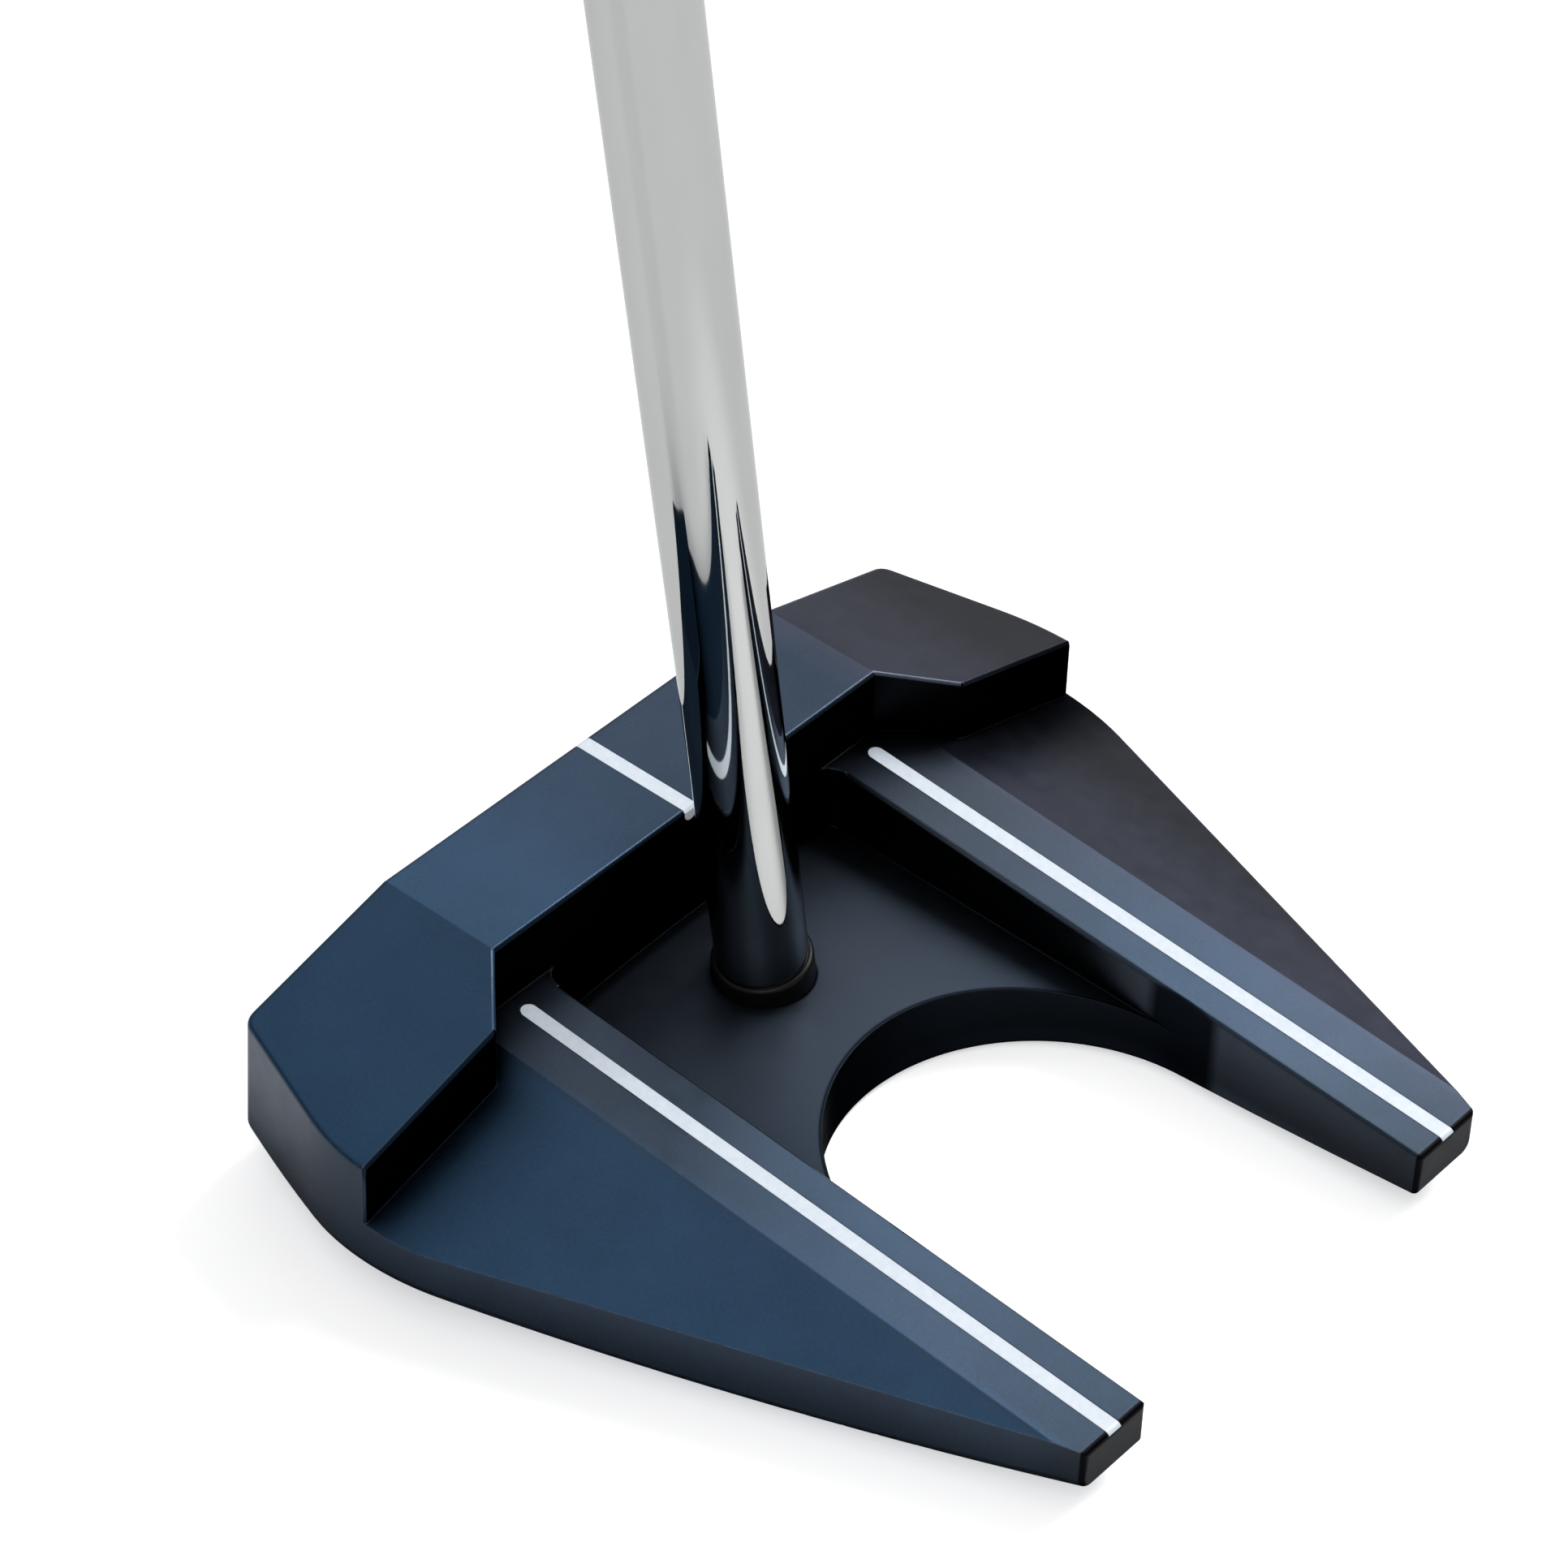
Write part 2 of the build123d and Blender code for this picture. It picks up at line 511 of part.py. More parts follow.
# ---------------------------------------------------------------- sole plate and its screws
with BuildPart() as sole_plate:
    with BuildSketch(Plane.XY.offset(CUT_FLOOR_Z)):
        with Locations(SP_CENTRE):
            RectangleRounded(SP_W, SP_LENGTH, SP_R)
    extrude(amount=SP_TOP - CUT_FLOOR_Z)
    add(below_sole.part, mode=Mode.SUBTRACT)
    # flat that the head sits on
    split(bisect_by=Plane.XY.offset(SP_FLAT_Z), keep=Keep.TOP)
    for x, y in SP_SCREWS:
        with Locations(Plane(origin=(x, y, SP_SCREW_Z), z_dir=(0, 0, -1))):
            CounterSinkHole(radius=SP_HOLE_R, counter_sink_radius=SP_HEAD_R,
                            counter_sink_angle=90)
    # plain sunk panel
    with BuildSketch(Plane.XY.offset(-1)):
        with Locations(SP_CENTRE):
            RectangleRounded(PANEL_W, PANEL_LENGTH, PANEL_R)
    extrude(amount=1 + PANEL_Z, mode=Mode.SUBTRACT)
save(sole_plate.part, "sole_plate")

with BuildPart() as sole_plate_screws:
    for x, y in SP_SCREWS:
        with BuildSketch(upright_plane(x, y, SP_SCREW_Z)):
            with BuildLine():
                Polyline((0, SP_HEAD_SINK), (SP_HEAD_R - SP_HEAD_SINK, SP_HEAD_SINK),
                         (SP_HOLE_R, SP_HEAD_R - SP_HOLE_R),
                         (SP_HOLE_R, SP_SCREW_LEN - SP_SCREW_CHAMFER),
                         (SP_HOLE_R - SP_SCREW_CHAMFER, SP_SCREW_LEN), (0, SP_SCREW_LEN),
                         close=True)
            make_face()
        revolve(axis=Axis((x, y, 0), (0, 0, 1)))
        # hexagon socket
        with BuildSketch(Plane.XY.offset(0)):
            with Locations((x, y)):
                RegularPolygon(radius=HEX_R, side_count=6)
        extrude(amount=HEX_TOP, mode=Mode.SUBTRACT)
save(sole_plate_screws.part, "sole_plate_screws")


# ---------------------------------------------------------------- shaft and what holds it
def turned_on_shaft(*points):
    """Solid of (radius, station) points turned about the shaft's axis."""
    with BuildPart() as turned:
        with BuildSketch(shaft_profile_plane()):
            with BuildLine():
                Polyline(*points, close=True)
            make_face()
        revolve(axis=SHAFT_AXIS)
    return turned.part


def shaft_sleeve(start, end, thickness):
    """Thin sleeve on the outside of the shaft."""
    return turned_on_shaft(
        (shaft_radius(start), start), (shaft_radius(start) + thickness, start),
        (shaft_radius(end) + thickness, end), (shaft_radius(end), end))


# post: a shank in the head and a wider spud inside the shaft
shank_end = SEAT - SHANK_LEN
spud_end = SEAT + SPUD_LEN
save(turned_on_shaft(
    (0, shank_end), (SHANK_R - SHANK_CHAMFER, shank_end), (SHANK_R, shank_end + SHANK_CHAMFER),
    (SHANK_R, SEAT), (SPUD_R, SEAT), (SPUD_R, spud_end - SPUD_CHAMFER),
    (SPUD_R - SPUD_CHAMFER, spud_end), (0, spud_end)), "hosel_spud")

# epoxy between spud and shaft
epoxy_start = SEAT + 0.1
epoxy_end = spud_end - 1.0
save(turned_on_shaft(
    (SPUD_R, epoxy_start), (TIP_R - WALL, epoxy_start), (TIP_R - WALL, 0),
    (shaft_radius(epoxy_end) - WALL, epoxy_end), (SPUD_R, epoxy_end)), "shaft_epoxy")

# tube: straight below station 0, tapered above
tube_start = SEAT + 0.02
butt_radius = shaft_radius(SHAFT_END)
save(turned_on_shaft(
    (TIP_R - WALL, tube_start), (TIP_R, tube_start), (TIP_R, 0), (butt_radius, SHAFT_END),
    (butt_radius - WALL, SHAFT_END), (TIP_R - WALL, 0)), "shaft")

with BuildPart() as shaft_ferrule:
    ferrule_in = TIP_R + FERRULE_GAP
    with BuildSketch(shaft_profile_plane()):
        with BuildLine():
            floor = Line((ferrule_in, SEAT), (FERRULE_R, SEAT))
            wall = Line(floor @ 1, (FERRULE_R, FERRULE_END - 0.5))
            shoulder = ThreePointArc(wall @ 1, (FERRULE_R - 0.12, FERRULE_END - 0.15),
                                     (FERRULE_R - 0.42, FERRULE_END))
            Polyline(shoulder @ 1, (ferrule_in, FERRULE_END), floor @ 0)
        make_face()
    revolve(axis=SHAFT_AXIS)
save(shaft_ferrule.part, "shaft_ferrule")

save(shaft_sleeve(BAND_0, BAND_1, BAND_T), "shaft_band")

# ---------------------------------------------------------------- grip
save(shaft_sleeve(GRIP_0 + GRIP_TAPE_INSET, SHAFT_END, GRIP_TAPE_T), "grip_tape")


def grip_section(width, depth, heel_radius, toe_radius):
    """Section of the grip in the current sketch: round at the heel side, flatter at the toe's."""
    Rectangle(width, depth)
    fillet(vertices().group_by(Axis.Y)[-1], radius=heel_radius)
    fillet(vertices().group_by(Axis.Y)[0], radius=toe_radius)


def grip_solid(inset):
    """Solid through the grip's sections, drawn in by inset."""
    with BuildPart() as solid:
        for station, width, depth, heel_radius, toe_radius in GRIP_SECTIONS:
            with BuildSketch(shaft_plane(station)):
                grip_section(width - 2 * inset, depth - 2 * inset,
                             heel_radius - inset, toe_radius - inset)
        loft()
    return solid.part


grip_inside = grip_solid(WRAP_T)

with BuildPart() as grip_core:
    add(grip_inside)
    # bore for the taped shaft
    with BuildSketch(shaft_profile_plane()):
        with BuildLine():
            bore_start = GRIP_0 - GRIP_BORE_EXTRA
            bore_end = GRIP_1 + GRIP_BORE_EXTRA
            Polyline((0, bore_start), (shaft_radius(bore_start) + GRIP_TAPE_T, bore_start),
                     (shaft_radius(bore_end) + GRIP_TAPE_T, bore_end), (0, bore_end), close=True)
        make_face()
    revolve(axis=SHAFT_AXIS, mode=Mode.SUBTRACT)
save(grip_core.part, "grip_core")

with BuildPart() as grip_wrap:
    add(grip_solid(0))
    add(grip_inside, mode=Mode.SUBTRACT)
save(grip_wrap.part, "grip_wrap")

with BuildPart() as grip_end_cap:
    with BuildSketch(shaft_plane(GRIP_1)):
        grip_section(*GRIP_SECTIONS[-1][1:])
    extrude(amount=CAP_T)
    fillet(grip_end_cap.faces().sort_by(SHAFT_AXIS)[-1].edges(), radius=CAP_EDGE_R)
    # hole through the middle
    with BuildSketch(shaft_plane(GRIP_1 - 1)):
        Circle(CAP_HOLE_R)
    extrude(amount=8, mode=Mode.SUBTRACT)
save(grip_end_cap.part, "grip_end_cap")
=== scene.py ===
import bpy
import math
import numpy as np
from mathutils import Matrix, Vector


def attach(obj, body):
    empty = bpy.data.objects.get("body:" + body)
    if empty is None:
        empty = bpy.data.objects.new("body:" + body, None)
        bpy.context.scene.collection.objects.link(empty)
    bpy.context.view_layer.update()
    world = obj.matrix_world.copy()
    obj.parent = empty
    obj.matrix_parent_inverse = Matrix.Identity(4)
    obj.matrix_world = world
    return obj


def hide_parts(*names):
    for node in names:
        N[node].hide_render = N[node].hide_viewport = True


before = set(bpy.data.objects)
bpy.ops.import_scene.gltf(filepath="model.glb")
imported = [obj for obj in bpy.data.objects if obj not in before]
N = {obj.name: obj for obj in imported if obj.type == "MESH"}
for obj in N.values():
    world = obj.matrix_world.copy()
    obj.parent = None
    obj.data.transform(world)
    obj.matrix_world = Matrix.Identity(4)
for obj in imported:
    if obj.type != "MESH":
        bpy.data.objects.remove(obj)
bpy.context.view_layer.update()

# ------------------------------------------------------------------ frame numbers (mm)
LEAN = math.radians(9.5)
BASE = np.array((-1.06, -24.97, 9.30))
AX = np.array((-math.sin(LEAN), 0.0, math.cos(LEAN)))      # up the shaft
EY = np.array((0.0, 1.0, 0.0))                             # across the grip
EB = np.array((-math.cos(LEAN), 0.0, -math.sin(LEAN)))     # towards the round back of the grip
TIP_R, TAPER, WALL, SHAFT_END, SEAT = 4.70, 0.0030, 0.45, 877.0, -0.95
GRIP_SECTIONS = np.array([
    (612.0, 22.0, 21.6, 9.6, 6.0),
    (640.0, 24.4, 23.4, 10.6, 6.0),
    (720.0, 26.4, 24.6, 11.4, 5.6),
    (800.0, 28.6, 26.8, 12.4, 5.4),
    (850.0, 30.4, 30.2, 13.4, 5.6),
    (879.0, 31.0, 31.6, 13.8, 6.0)])


def at(s, x=0.0, y=0.0):
    """Point in metres: s mm up the shaft, x mm along +Y, y mm towards the grip's back."""
    return (BASE + AX * s + EY * x + EB * y) / 1000.0


def r_at(s):
    return TIP_R + TAPER * max(s, 0.0)


def mesh_object(name, verts, faces, smooth_angle=None):
    me = bpy.data.meshes.new(name)
    me.from_pydata([tuple(v) for v in verts], [], faces)
    me.validate()
    me.update()
    o = bpy.data.objects.new(name, me)
    bpy.context.scene.collection.objects.link(o)
    if smooth_angle is not None:
        me.polygons.foreach_set("use_smooth", [True] * len(me.polygons))
        me.set_sharp_from_angle(angle=math.radians(smooth_angle))
    return o


# ------------------------------------------------------------------ node helpers
class Mat:
    def __init__(self, name):
        self.m = bpy.data.materials.new(name)
        self.m.use_nodes = True
        self.t = self.m.node_tree
        self.t.nodes.clear()
        self.out = self.n("OutputMaterial")
        self.b = self.n("BsdfPrincipled")
        self.l(self.b.outputs[0], self.out.inputs[0])
        self.co = self.n("TexCoord").outputs["Object"]
        mm = self.n("VectorMath", operation="SCALE")
        mm.inputs["Scale"].default_value = 1000.0
        self.l(self.co, mm.inputs[0])
        self.mm = mm.outputs[0]

    def n(self, kind, **kw):
        node = self.t.nodes.new("ShaderNode" + kind)
        for k, v in kw.items():
            setattr(node, k, v)
        return node

    def l(self, a, b):
        self.t.links.new(a, b)

    def put(self, socket, value):
        if hasattr(value, "is_linked") or hasattr(value, "links"):
            self.l(value, socket)
        elif isinstance(value, (tuple, list)) and len(value) == 3 and socket.type == "RGBA":
            socket.default_value = (*value, 1.0)
        else:
            socket.default_value = value

    def noise(self, scale, detail=2.0, rough=0.5, vec=None, stretch=None, distortion=0.0):
        v = vec or self.mm
        if stretch:
            mp = self.n("Mapping")
            self.l(v, mp.inputs["Vector"])
            mp.inputs["Scale"].default_value = stretch
            v = mp.outputs[0]
        t = self.n("TexNoise")
        self.l(v, t.inputs["Vector"])
        t.inputs["Scale"].default_value = scale
        t.inputs["Detail"].default_value = detail
        t.inputs["Roughness"].default_value = rough
        t.inputs["Distortion"].default_value = distortion
        return t.outputs["Fac"]

    def ramp(self, fac, stops, interp="LINEAR"):
        r = self.n("ValToRGB")
        r.color_ramp.interpolation = interp
        els = r.color_ramp.elements
        while len(els) > 1:
            els.remove(els[-1])
        els[0].position, els[0].color = stops[0][0], _rgba(stops[0][1])
        for p, c in stops[1:]:
            e = els.new(p)
            e.color = _rgba(c)
        self.l(fac, r.inputs[0])
        return r.outputs[0]

    def range(self, v, a, b, c=0.0, d=1.0, smooth=False):
        r = self.n("MapRange")
        if smooth:
            r.interpolation_type = "SMOOTHSTEP"
        self.put(r.inputs["Value"], v)
        r.inputs["From Min"].default_value, r.inputs["From Max"].default_value = a, b
        r.inputs["To Min"].default_value, r.inputs["To Max"].default_value = c, d
        return r.outputs[0]

    def math(self, op, a, b=None, c=None):
        m = self.n("Math", operation=op)
        self.put(m.inputs[0], a)
        if b is not None:
            self.put(m.inputs[1], b)
        if c is not None:
            self.put(m.inputs[2], c)
        return m.outputs[0]

    def mix(self, fac, a, b, kind="MIX"):
        m = self.n("Mix", data_type="RGBA", blend_type=kind)
        self.put(m.inputs[0], fac)
        self.put(m.inputs[6], a)
        self.put(m.inputs[7], b)
        return m.outputs[2]

    def sep(self, v):
        s = self.n("SeparateXYZ")
        self.l(v, s.inputs[0])
        return s.outputs

    def bump(self, height, strength, distance_mm, normal=None):
        b = self.n("Bump")
        b.inputs["Strength"].default_value = strength
        b.inputs["Distance"].default_value = distance_mm / 1000.0
        self.l(height, b.inputs["Height"])
        if normal is not None:
            self.l(normal, b.inputs["Normal"])
        return b.outputs[0]

    def bevel(self, radius_mm, samples=6):
        b = self.n("Bevel", samples=samples)
        b.inputs["Radius"].default_value = radius_mm / 1000.0
        return b.outputs[0]

    def edge(self, bevel_normal, lo=0.004, hi=0.06):
        """1 where the rounded normal turns away from the flat one."""
        g = self.n("NewGeometry")
        d = self.n("VectorMath", operation="DOT_PRODUCT")
        self.l(bevel_normal, d.inputs[0])
        self.l(g.outputs["True Normal"], d.inputs[1])
        return self.range(self.math("SUBTRACT", 1.0, d.outputs["Value"]), lo, hi, smooth=True)

    def set(self, **kw):
        names = {"color": "Base Color", "metal": "Metallic", "rough": "Roughness", "normal": "Normal", "ior": "IOR",
                 "spec": "Specular IOR Level", "coat": "Coat Weight", "coat_rough": "Coat Roughness",
                 "sheen": "Sheen Weight", "sheen_rough": "Sheen Roughness", "aniso": "Anisotropic",
                 "tint": "Specular Tint", "sss": "Subsurface Weight"}
        for k, v in kw.items():
            self.put(self.b.inputs[names[k]], v)
        return self.m


def _rgba(c):
    return (c, c, c, 1.0) if isinstance(c, (int, float)) else (*c, 1.0)


# ------------------------------------------------------------------ materials
def head_finish():
    """Dark blue, fine-blasted and coated metal: blue at the heel, greyer towards the toe."""
    k = Mat("head_finish")
    x, y, z = k.sep(k.mm)
    along = k.range(x, -52.0, 46.0, smooth=False)
    base = k.ramp(along, [(0.0, (0.031, 0.070, 0.129)), (0.33, (0.037, 0.071, 0.124)), (0.55, (0.038, 0.059, 0.092)),
                          (0.78, (0.038, 0.057, 0.086)), (0.84, (0.062, 0.068, 0.100)), (0.92, (0.057, 0.062, 0.088)),
                          (1.0, (0.036, 0.038, 0.048))])
    # the ribs are greyer near the bar and bluer towards their tips
    ax = k.math("ABSOLUTE", x)
    on_rib = k.math("MULTIPLY", k.range(ax, 31.0, 33.0, 1.0, 0.0), k.range(z, 16.4, 16.8, 1.0, 0.0))
    rib = k.ramp(k.range(y, -30.0, -88.0), [(0.0, (0.043, 0.054, 0.072)), (0.50, (0.046, 0.070, 0.106)),
                                            (0.75, (0.044, 0.062, 0.090)), (1.0, (0.030, 0.041, 0.056))])
    base = k.mix(k.math("MULTIPLY", on_rib, 0.85), base, rib)
    geo = k.n("NewGeometry")
    gn = k.sep(geo.outputs["True Normal"])
    level = k.range(k.math("ABSOLUTE", gn[2]), 0.45, 0.60)
    # painted shade: faces that look sideways are made less saturated, and faces towards the heel or toe darker, as the
    # light falls on them
    facing_shade_hsv = k.n("HueSaturation")
    k.l(k.range(level, 0.0, 1.0, 0.72, 1.0), facing_shade_hsv.inputs["Saturation"])
    k.l(k.range(k.math("ABSOLUTE", gn[0]), 0.45, 0.70, 1.0, 0.80), facing_shade_hsv.inputs["Value"])
    k.l(base, facing_shade_hsv.inputs["Color"])
    base = facing_shade_hsv.outputs[0]
    cloud = k.range(k.noise(0.10, 3.0, 0.55), 0.3, 0.7, 0.93, 1.07)
    speck = k.range(k.noise(3.2, 2.0, 0.6), 0.3, 0.7, 0.94, 1.06)
    tone = k.math("MULTIPLY", cloud, speck)
    comb = k.n("CombineColor")
    for i in range(3):
        k.l(tone, comb.inputs[i])
    base = k.mix(1.0, base, comb.outputs[0], "MULTIPLY")
    bev = k.bevel(0.28, 6)
    edge = k.edge(bev, 0.01, 0.12)
    # the convex edges are lightened: edge wear, and also a painted highlight along them
    edge_wear_and_highlight = k.math("MULTIPLY", edge, k.range(k.noise(0.9, 3.0, 0.65), 0.35, 0.65, 0.35, 1.0))
    base = k.mix(k.math("MULTIPLY", edge_wear_and_highlight, 0.45), base, (0.20, 0.23, 0.28))
    rough = k.math("ADD", k.range(k.noise(0.35, 3.0, 0.6), 0.3, 0.7, 0.30, 0.36), k.math("MULTIPLY", edge, -0.05))
    grain = k.math("ADD", k.math("MULTIPLY", k.noise(7.5, 2.0, 0.65), 0.7), k.math("MULTIPLY", k.noise(2.6, 1.0, 0.5), 0.3))
    rough = k.math("ADD", rough, k.math("MULTIPLY", k.range(z, 11.0, 12.0, 0.10, 0.0), k.range(ax, 21.5, 22.0, 1.0, 0.0)))
    nrm = k.bump(grain, 0.22, 0.02, bev)
    # painted shade: ambient occlusion darkens the colour in recesses, in concave corners and near the floor
    ao = k.n("AmbientOcclusion", samples=6)
    ao.inputs["Distance"].default_value = 0.016
    near = k.n("AmbientOcclusion", samples=4, only_local=True)
    near.inputs["Distance"].default_value = 0.0012
    shade = k.math("MULTIPLY", k.range(ao.outputs["AO"], 0.42, 0.92, 0.04, 1.0),
                   k.range(near.outputs["AO"], 0.52, 0.80, 0.15, 1.0))
    down = k.range(gn[2], -0.75, -0.55, 1.0, 0.0)                 # painted shade is lifted on faces that look down onto the floor
    shade = k.math("MAXIMUM", shade, down)
    sc = k.n("CombineColor")
    for i in range(3):
        k.l(shade, sc.inputs[i])
    base = k.mix(1.0, base, sc.outputs[0], "MULTIPLY")
    # the plate between the ribs is a little greyer; the wall of the cut-out gets painted shade, and the head is painted
    # darker as it is seen in reflections
    on_plate = k.math("MULTIPLY", k.range(ax, 21.5, 22.0, 1.0, 0.0), k.range(z, 11.0, 12.0, 1.0, 0.0))
    on_plate = k.math("MULTIPLY", on_plate, k.range(y, -15.5, -14.8, 1.0, 0.0))
    base = k.mix(k.math("MULTIPLY", on_plate, 0.55), base, (0.036, 0.046, 0.062))
    dy = k.math("ADD", y, 60.2)
    rad = k.math("SQRT", k.math("ADD", k.math("MULTIPLY", x, x), k.math("MULTIPLY", dy, dy)))
    wall = k.math("MULTIPLY", k.range(rad, 22.05, 22.3, 1.0, 0.0), k.range(y, -80.0, -79.0, 0.0, 1.0))
    # painted shade: the bar's back walls are coloured nearly black, and the wings are painted darker towards them
    back = k.math("MULTIPLY", k.range(gn[1], -0.75, -0.60, 1.0, 0.0), k.range(y, -21.2, -20.8, 0.0, 1.0))
    behind = k.math("SUBTRACT", k.math("MULTIPLY", y, -1.0), k.range(ax, 28.8, 35.5, 14.0, 20.3))
    near_bar = k.math("MULTIPLY", k.range(behind, 0.0, 11.0, 1.0, 0.0, smooth=True),
                      k.math("MULTIPLY", level, k.range(behind, -0.1, 0.1, 0.0, 1.0)))
    # painted shade: the cut-out's wall is coloured darker, and the head is darker wherever it is seen in a reflection
    lpath = k.n("LightPath")
    dark = k.math("MULTIPLY", k.range(wall, 0.0, 1.0, 1.0, 0.22),
                  k.range(lpath.outputs["Is Glossy Ray"], 0.0, 1.0, 1.0, 0.42))
    dark = k.math("MULTIPLY", dark, k.range(back, 0.0, 1.0, 1.0, 0.10))
    deep = k.math("SUBTRACT", 1.0, k.range(x, -35.0, 35.0, 0.30, 0.62))
    dark = k.math("MULTIPLY", dark, k.math("ADD", 1.0, k.math("MULTIPLY", near_bar, k.math("SUBTRACT", deep, 1.0))))
    sd = k.n("CombineColor")
    for i in range(3):
        k.l(dark, sd.inputs[i])
    base = k.mix(1.0, base, sd.outputs[0], "MULTIPLY")
    # the painted shade also dims the reflection tint
    rim = k.mix(1.0, sd.outputs[0], sc.outputs[0], "MULTIPLY")
    # painted shade and light at the two tips: their rounded top edge is coloured black in place of shade, and their end
    # faces are painted lighter towards the bottom, fading into it
    tip_painted_zone = k.range(y, -88.82, -88.70, 1.0, 0.0)
    end_face_painted_light = k.math("MULTIPLY", k.range(gn[1], -0.97, -0.90, 1.0, 0.0), k.range(z, 8.0, 2.5, 0.0, 1.0))
    base = k.mix(tip_painted_zone, base, k.mix(end_face_painted_light, (0.003, 0.003, 0.004), (0.040, 0.044, 0.050)))
    return k.set(color=base, metal=1.0, rough=rough, normal=nrm, spec=0.5, tint=rim)


def paint_white():
    k = Mat("sight_line_paint")
    tone = k.ramp(k.noise(1.2, 3.0, 0.6), [(0.3, (0.56, 0.63, 0.71)), (0.7, (0.64, 0.70, 0.76))])
    return k.set(color=tone, metal=0.0, rough=k.range(k.noise(4.0), 0.3, 0.7, 0.30, 0.42),
                 normal=k.bump(k.noise(1.6, 2.0), 0.25, 0.05, k.bevel(0.15, 4)), coat=0.25, coat_rough=0.25)


def chrome():
    """Polished chrome plate with drawn micro lines along the shaft."""
    k = Mat("shaft_chrome")
    rot = k.n("Mapping")
    k.l(k.mm, rot.inputs["Vector"])
    rot.inputs["Rotation"].default_value = (0.0, LEAN, 0.0)      # z of this space runs up the shaft
    lines = k.noise(9.0, 2.0, 0.6, vec=rot.outputs[0], stretch=(1.0, 1.0, 0.004))
    haze = k.noise(0.25, 2.0, 0.5, vec=rot.outputs[0], stretch=(1.0, 1.0, 0.2))
    tone = k.ramp(haze, [(0.3, (0.590, 0.603, 0.598)), (0.7, (0.625, 0.635, 0.629))])
    rough = k.range(haze, 0.3, 0.7, 0.018, 0.045)
    off = k.n("VectorMath", operation="SUBTRACT")
    k.l(k.mm, off.inputs[0])
    off.inputs[1].default_value = tuple(BASE)
    up = k.n("VectorMath", operation="DOT_PRODUCT")
    k.l(off.outputs[0], up.inputs[0])
    up.inputs[1].default_value = tuple(AX)
    collar_painted_shade = k.range(up.outputs["Value"], 0.5, 9.0, 0.28, 1.0, smooth=True)   # painted shade: the chrome is darker by the collar, so its reflection is darker there
    fc = k.n("CombineColor")
    for i in range(3):
        k.l(collar_painted_shade, fc.inputs[i])
    tone = k.mix(1.0, tone, fc.outputs[0], "MULTIPLY")
    g = k.n("NewGeometry")
    lean = k.n("VectorMath", operation="ADD")                     # the polish leans the highlights a little
    k.l(g.outputs["Normal"], lean.inputs[0])
    lean.inputs[1].default_value = tuple(-0.042 * AX)
    unit = k.n("VectorMath", operation="NORMALIZE")
    k.l(lean.outputs[0], unit.inputs[0])
    return k.set(color=tone, metal=1.0, rough=rough, tint=(0.84, 0.84, 0.84),
                 normal=k.bump(lines, 0.035, 0.01, unit.outputs[0]))


def ferrule_black():
    k = Mat("ferrule_black")
    tone = k.ramp(k.noise(0.8, 2.0), [(0.3, (0.002, 0.002, 0.002)), (0.7, (0.004, 0.004, 0.004))])
    return k.set(color=tone, rough=k.range(k.noise(3.0, 3.0), 0.3, 0.7, 0.34, 0.44), spec=0.14,
                 normal=k.bump(k.noise(5.0, 2.0), 0.08, 0.02, k.bevel(0.15, 4)), coat=0.04, coat_rough=0.10)


def steel(name, tone_a, tone_b, rough=(0.22, 0.34), turned_at=None, brushed=None, bevel=0.12, metal=1.0):
    """Machined metal: rings round an axis, or straight brushing."""
    k = Mat(name)
    if turned_at is not None:
        off = k.n("VectorMath", operation="SUBTRACT")
        k.l(k.mm, off.inputs[0])
        off.inputs[1].default_value = turned_at
        s = k.sep(off.outputs[0])
        rad = k.math("SQRT", k.math("ADD", k.math("MULTIPLY", s[0], s[0]), k.math("MULTIPLY", s[1], s[1])))
        c = k.n("CombineXYZ")
        k.l(rad, c.inputs[0])
        lines = k.noise(9.0, 3.0, 0.7, vec=c.outputs[0])
    else:
        lines = k.noise(6.0, 3.0, 0.7, stretch=brushed or (0.03, 1.0, 1.0))
    dirt = k.noise(0.4, 4.0, 0.6)
    tone = k.mix(k.range(lines, 0.3, 0.7), tone_a, tone_b)
    tone = k.mix(k.range(dirt, 0.55, 0.8, 0.0, 0.25), tone, tuple(0.6 * v for v in tone_a))
    bev = k.bevel(bevel, 4)
    tone = k.mix(k.math("MULTIPLY", k.edge(bev, 0.01, 0.15), 0.35), tone, tuple(min(1.0, 1.5 * v) for v in tone_b))
    return k.set(color=tone, metal=metal, rough=k.range(lines, 0.3, 0.7, rough[0], rough[1]),
                 normal=k.bump(lines, 0.12, 0.015, bev))


def polymer(name, a, b, rough=(0.45, 0.6), grain=3.0, strength=0.2, sheen=0.0, bevel=0.12):
    k = Mat(name)
    n1 = k.noise(grain, 4.0, 0.6)
    n2 = k.noise(0.25, 3.0, 0.55)
    tone = k.mix(k.range(n2, 0.35, 0.65), a, b)
    return k.set(color=tone, rough=k.range(n1, 0.3, 0.7, rough[0], rough[1]), sheen=sheen,
                 normal=k.bump(n1, strength, 0.03, k.bevel(bevel, 4)))


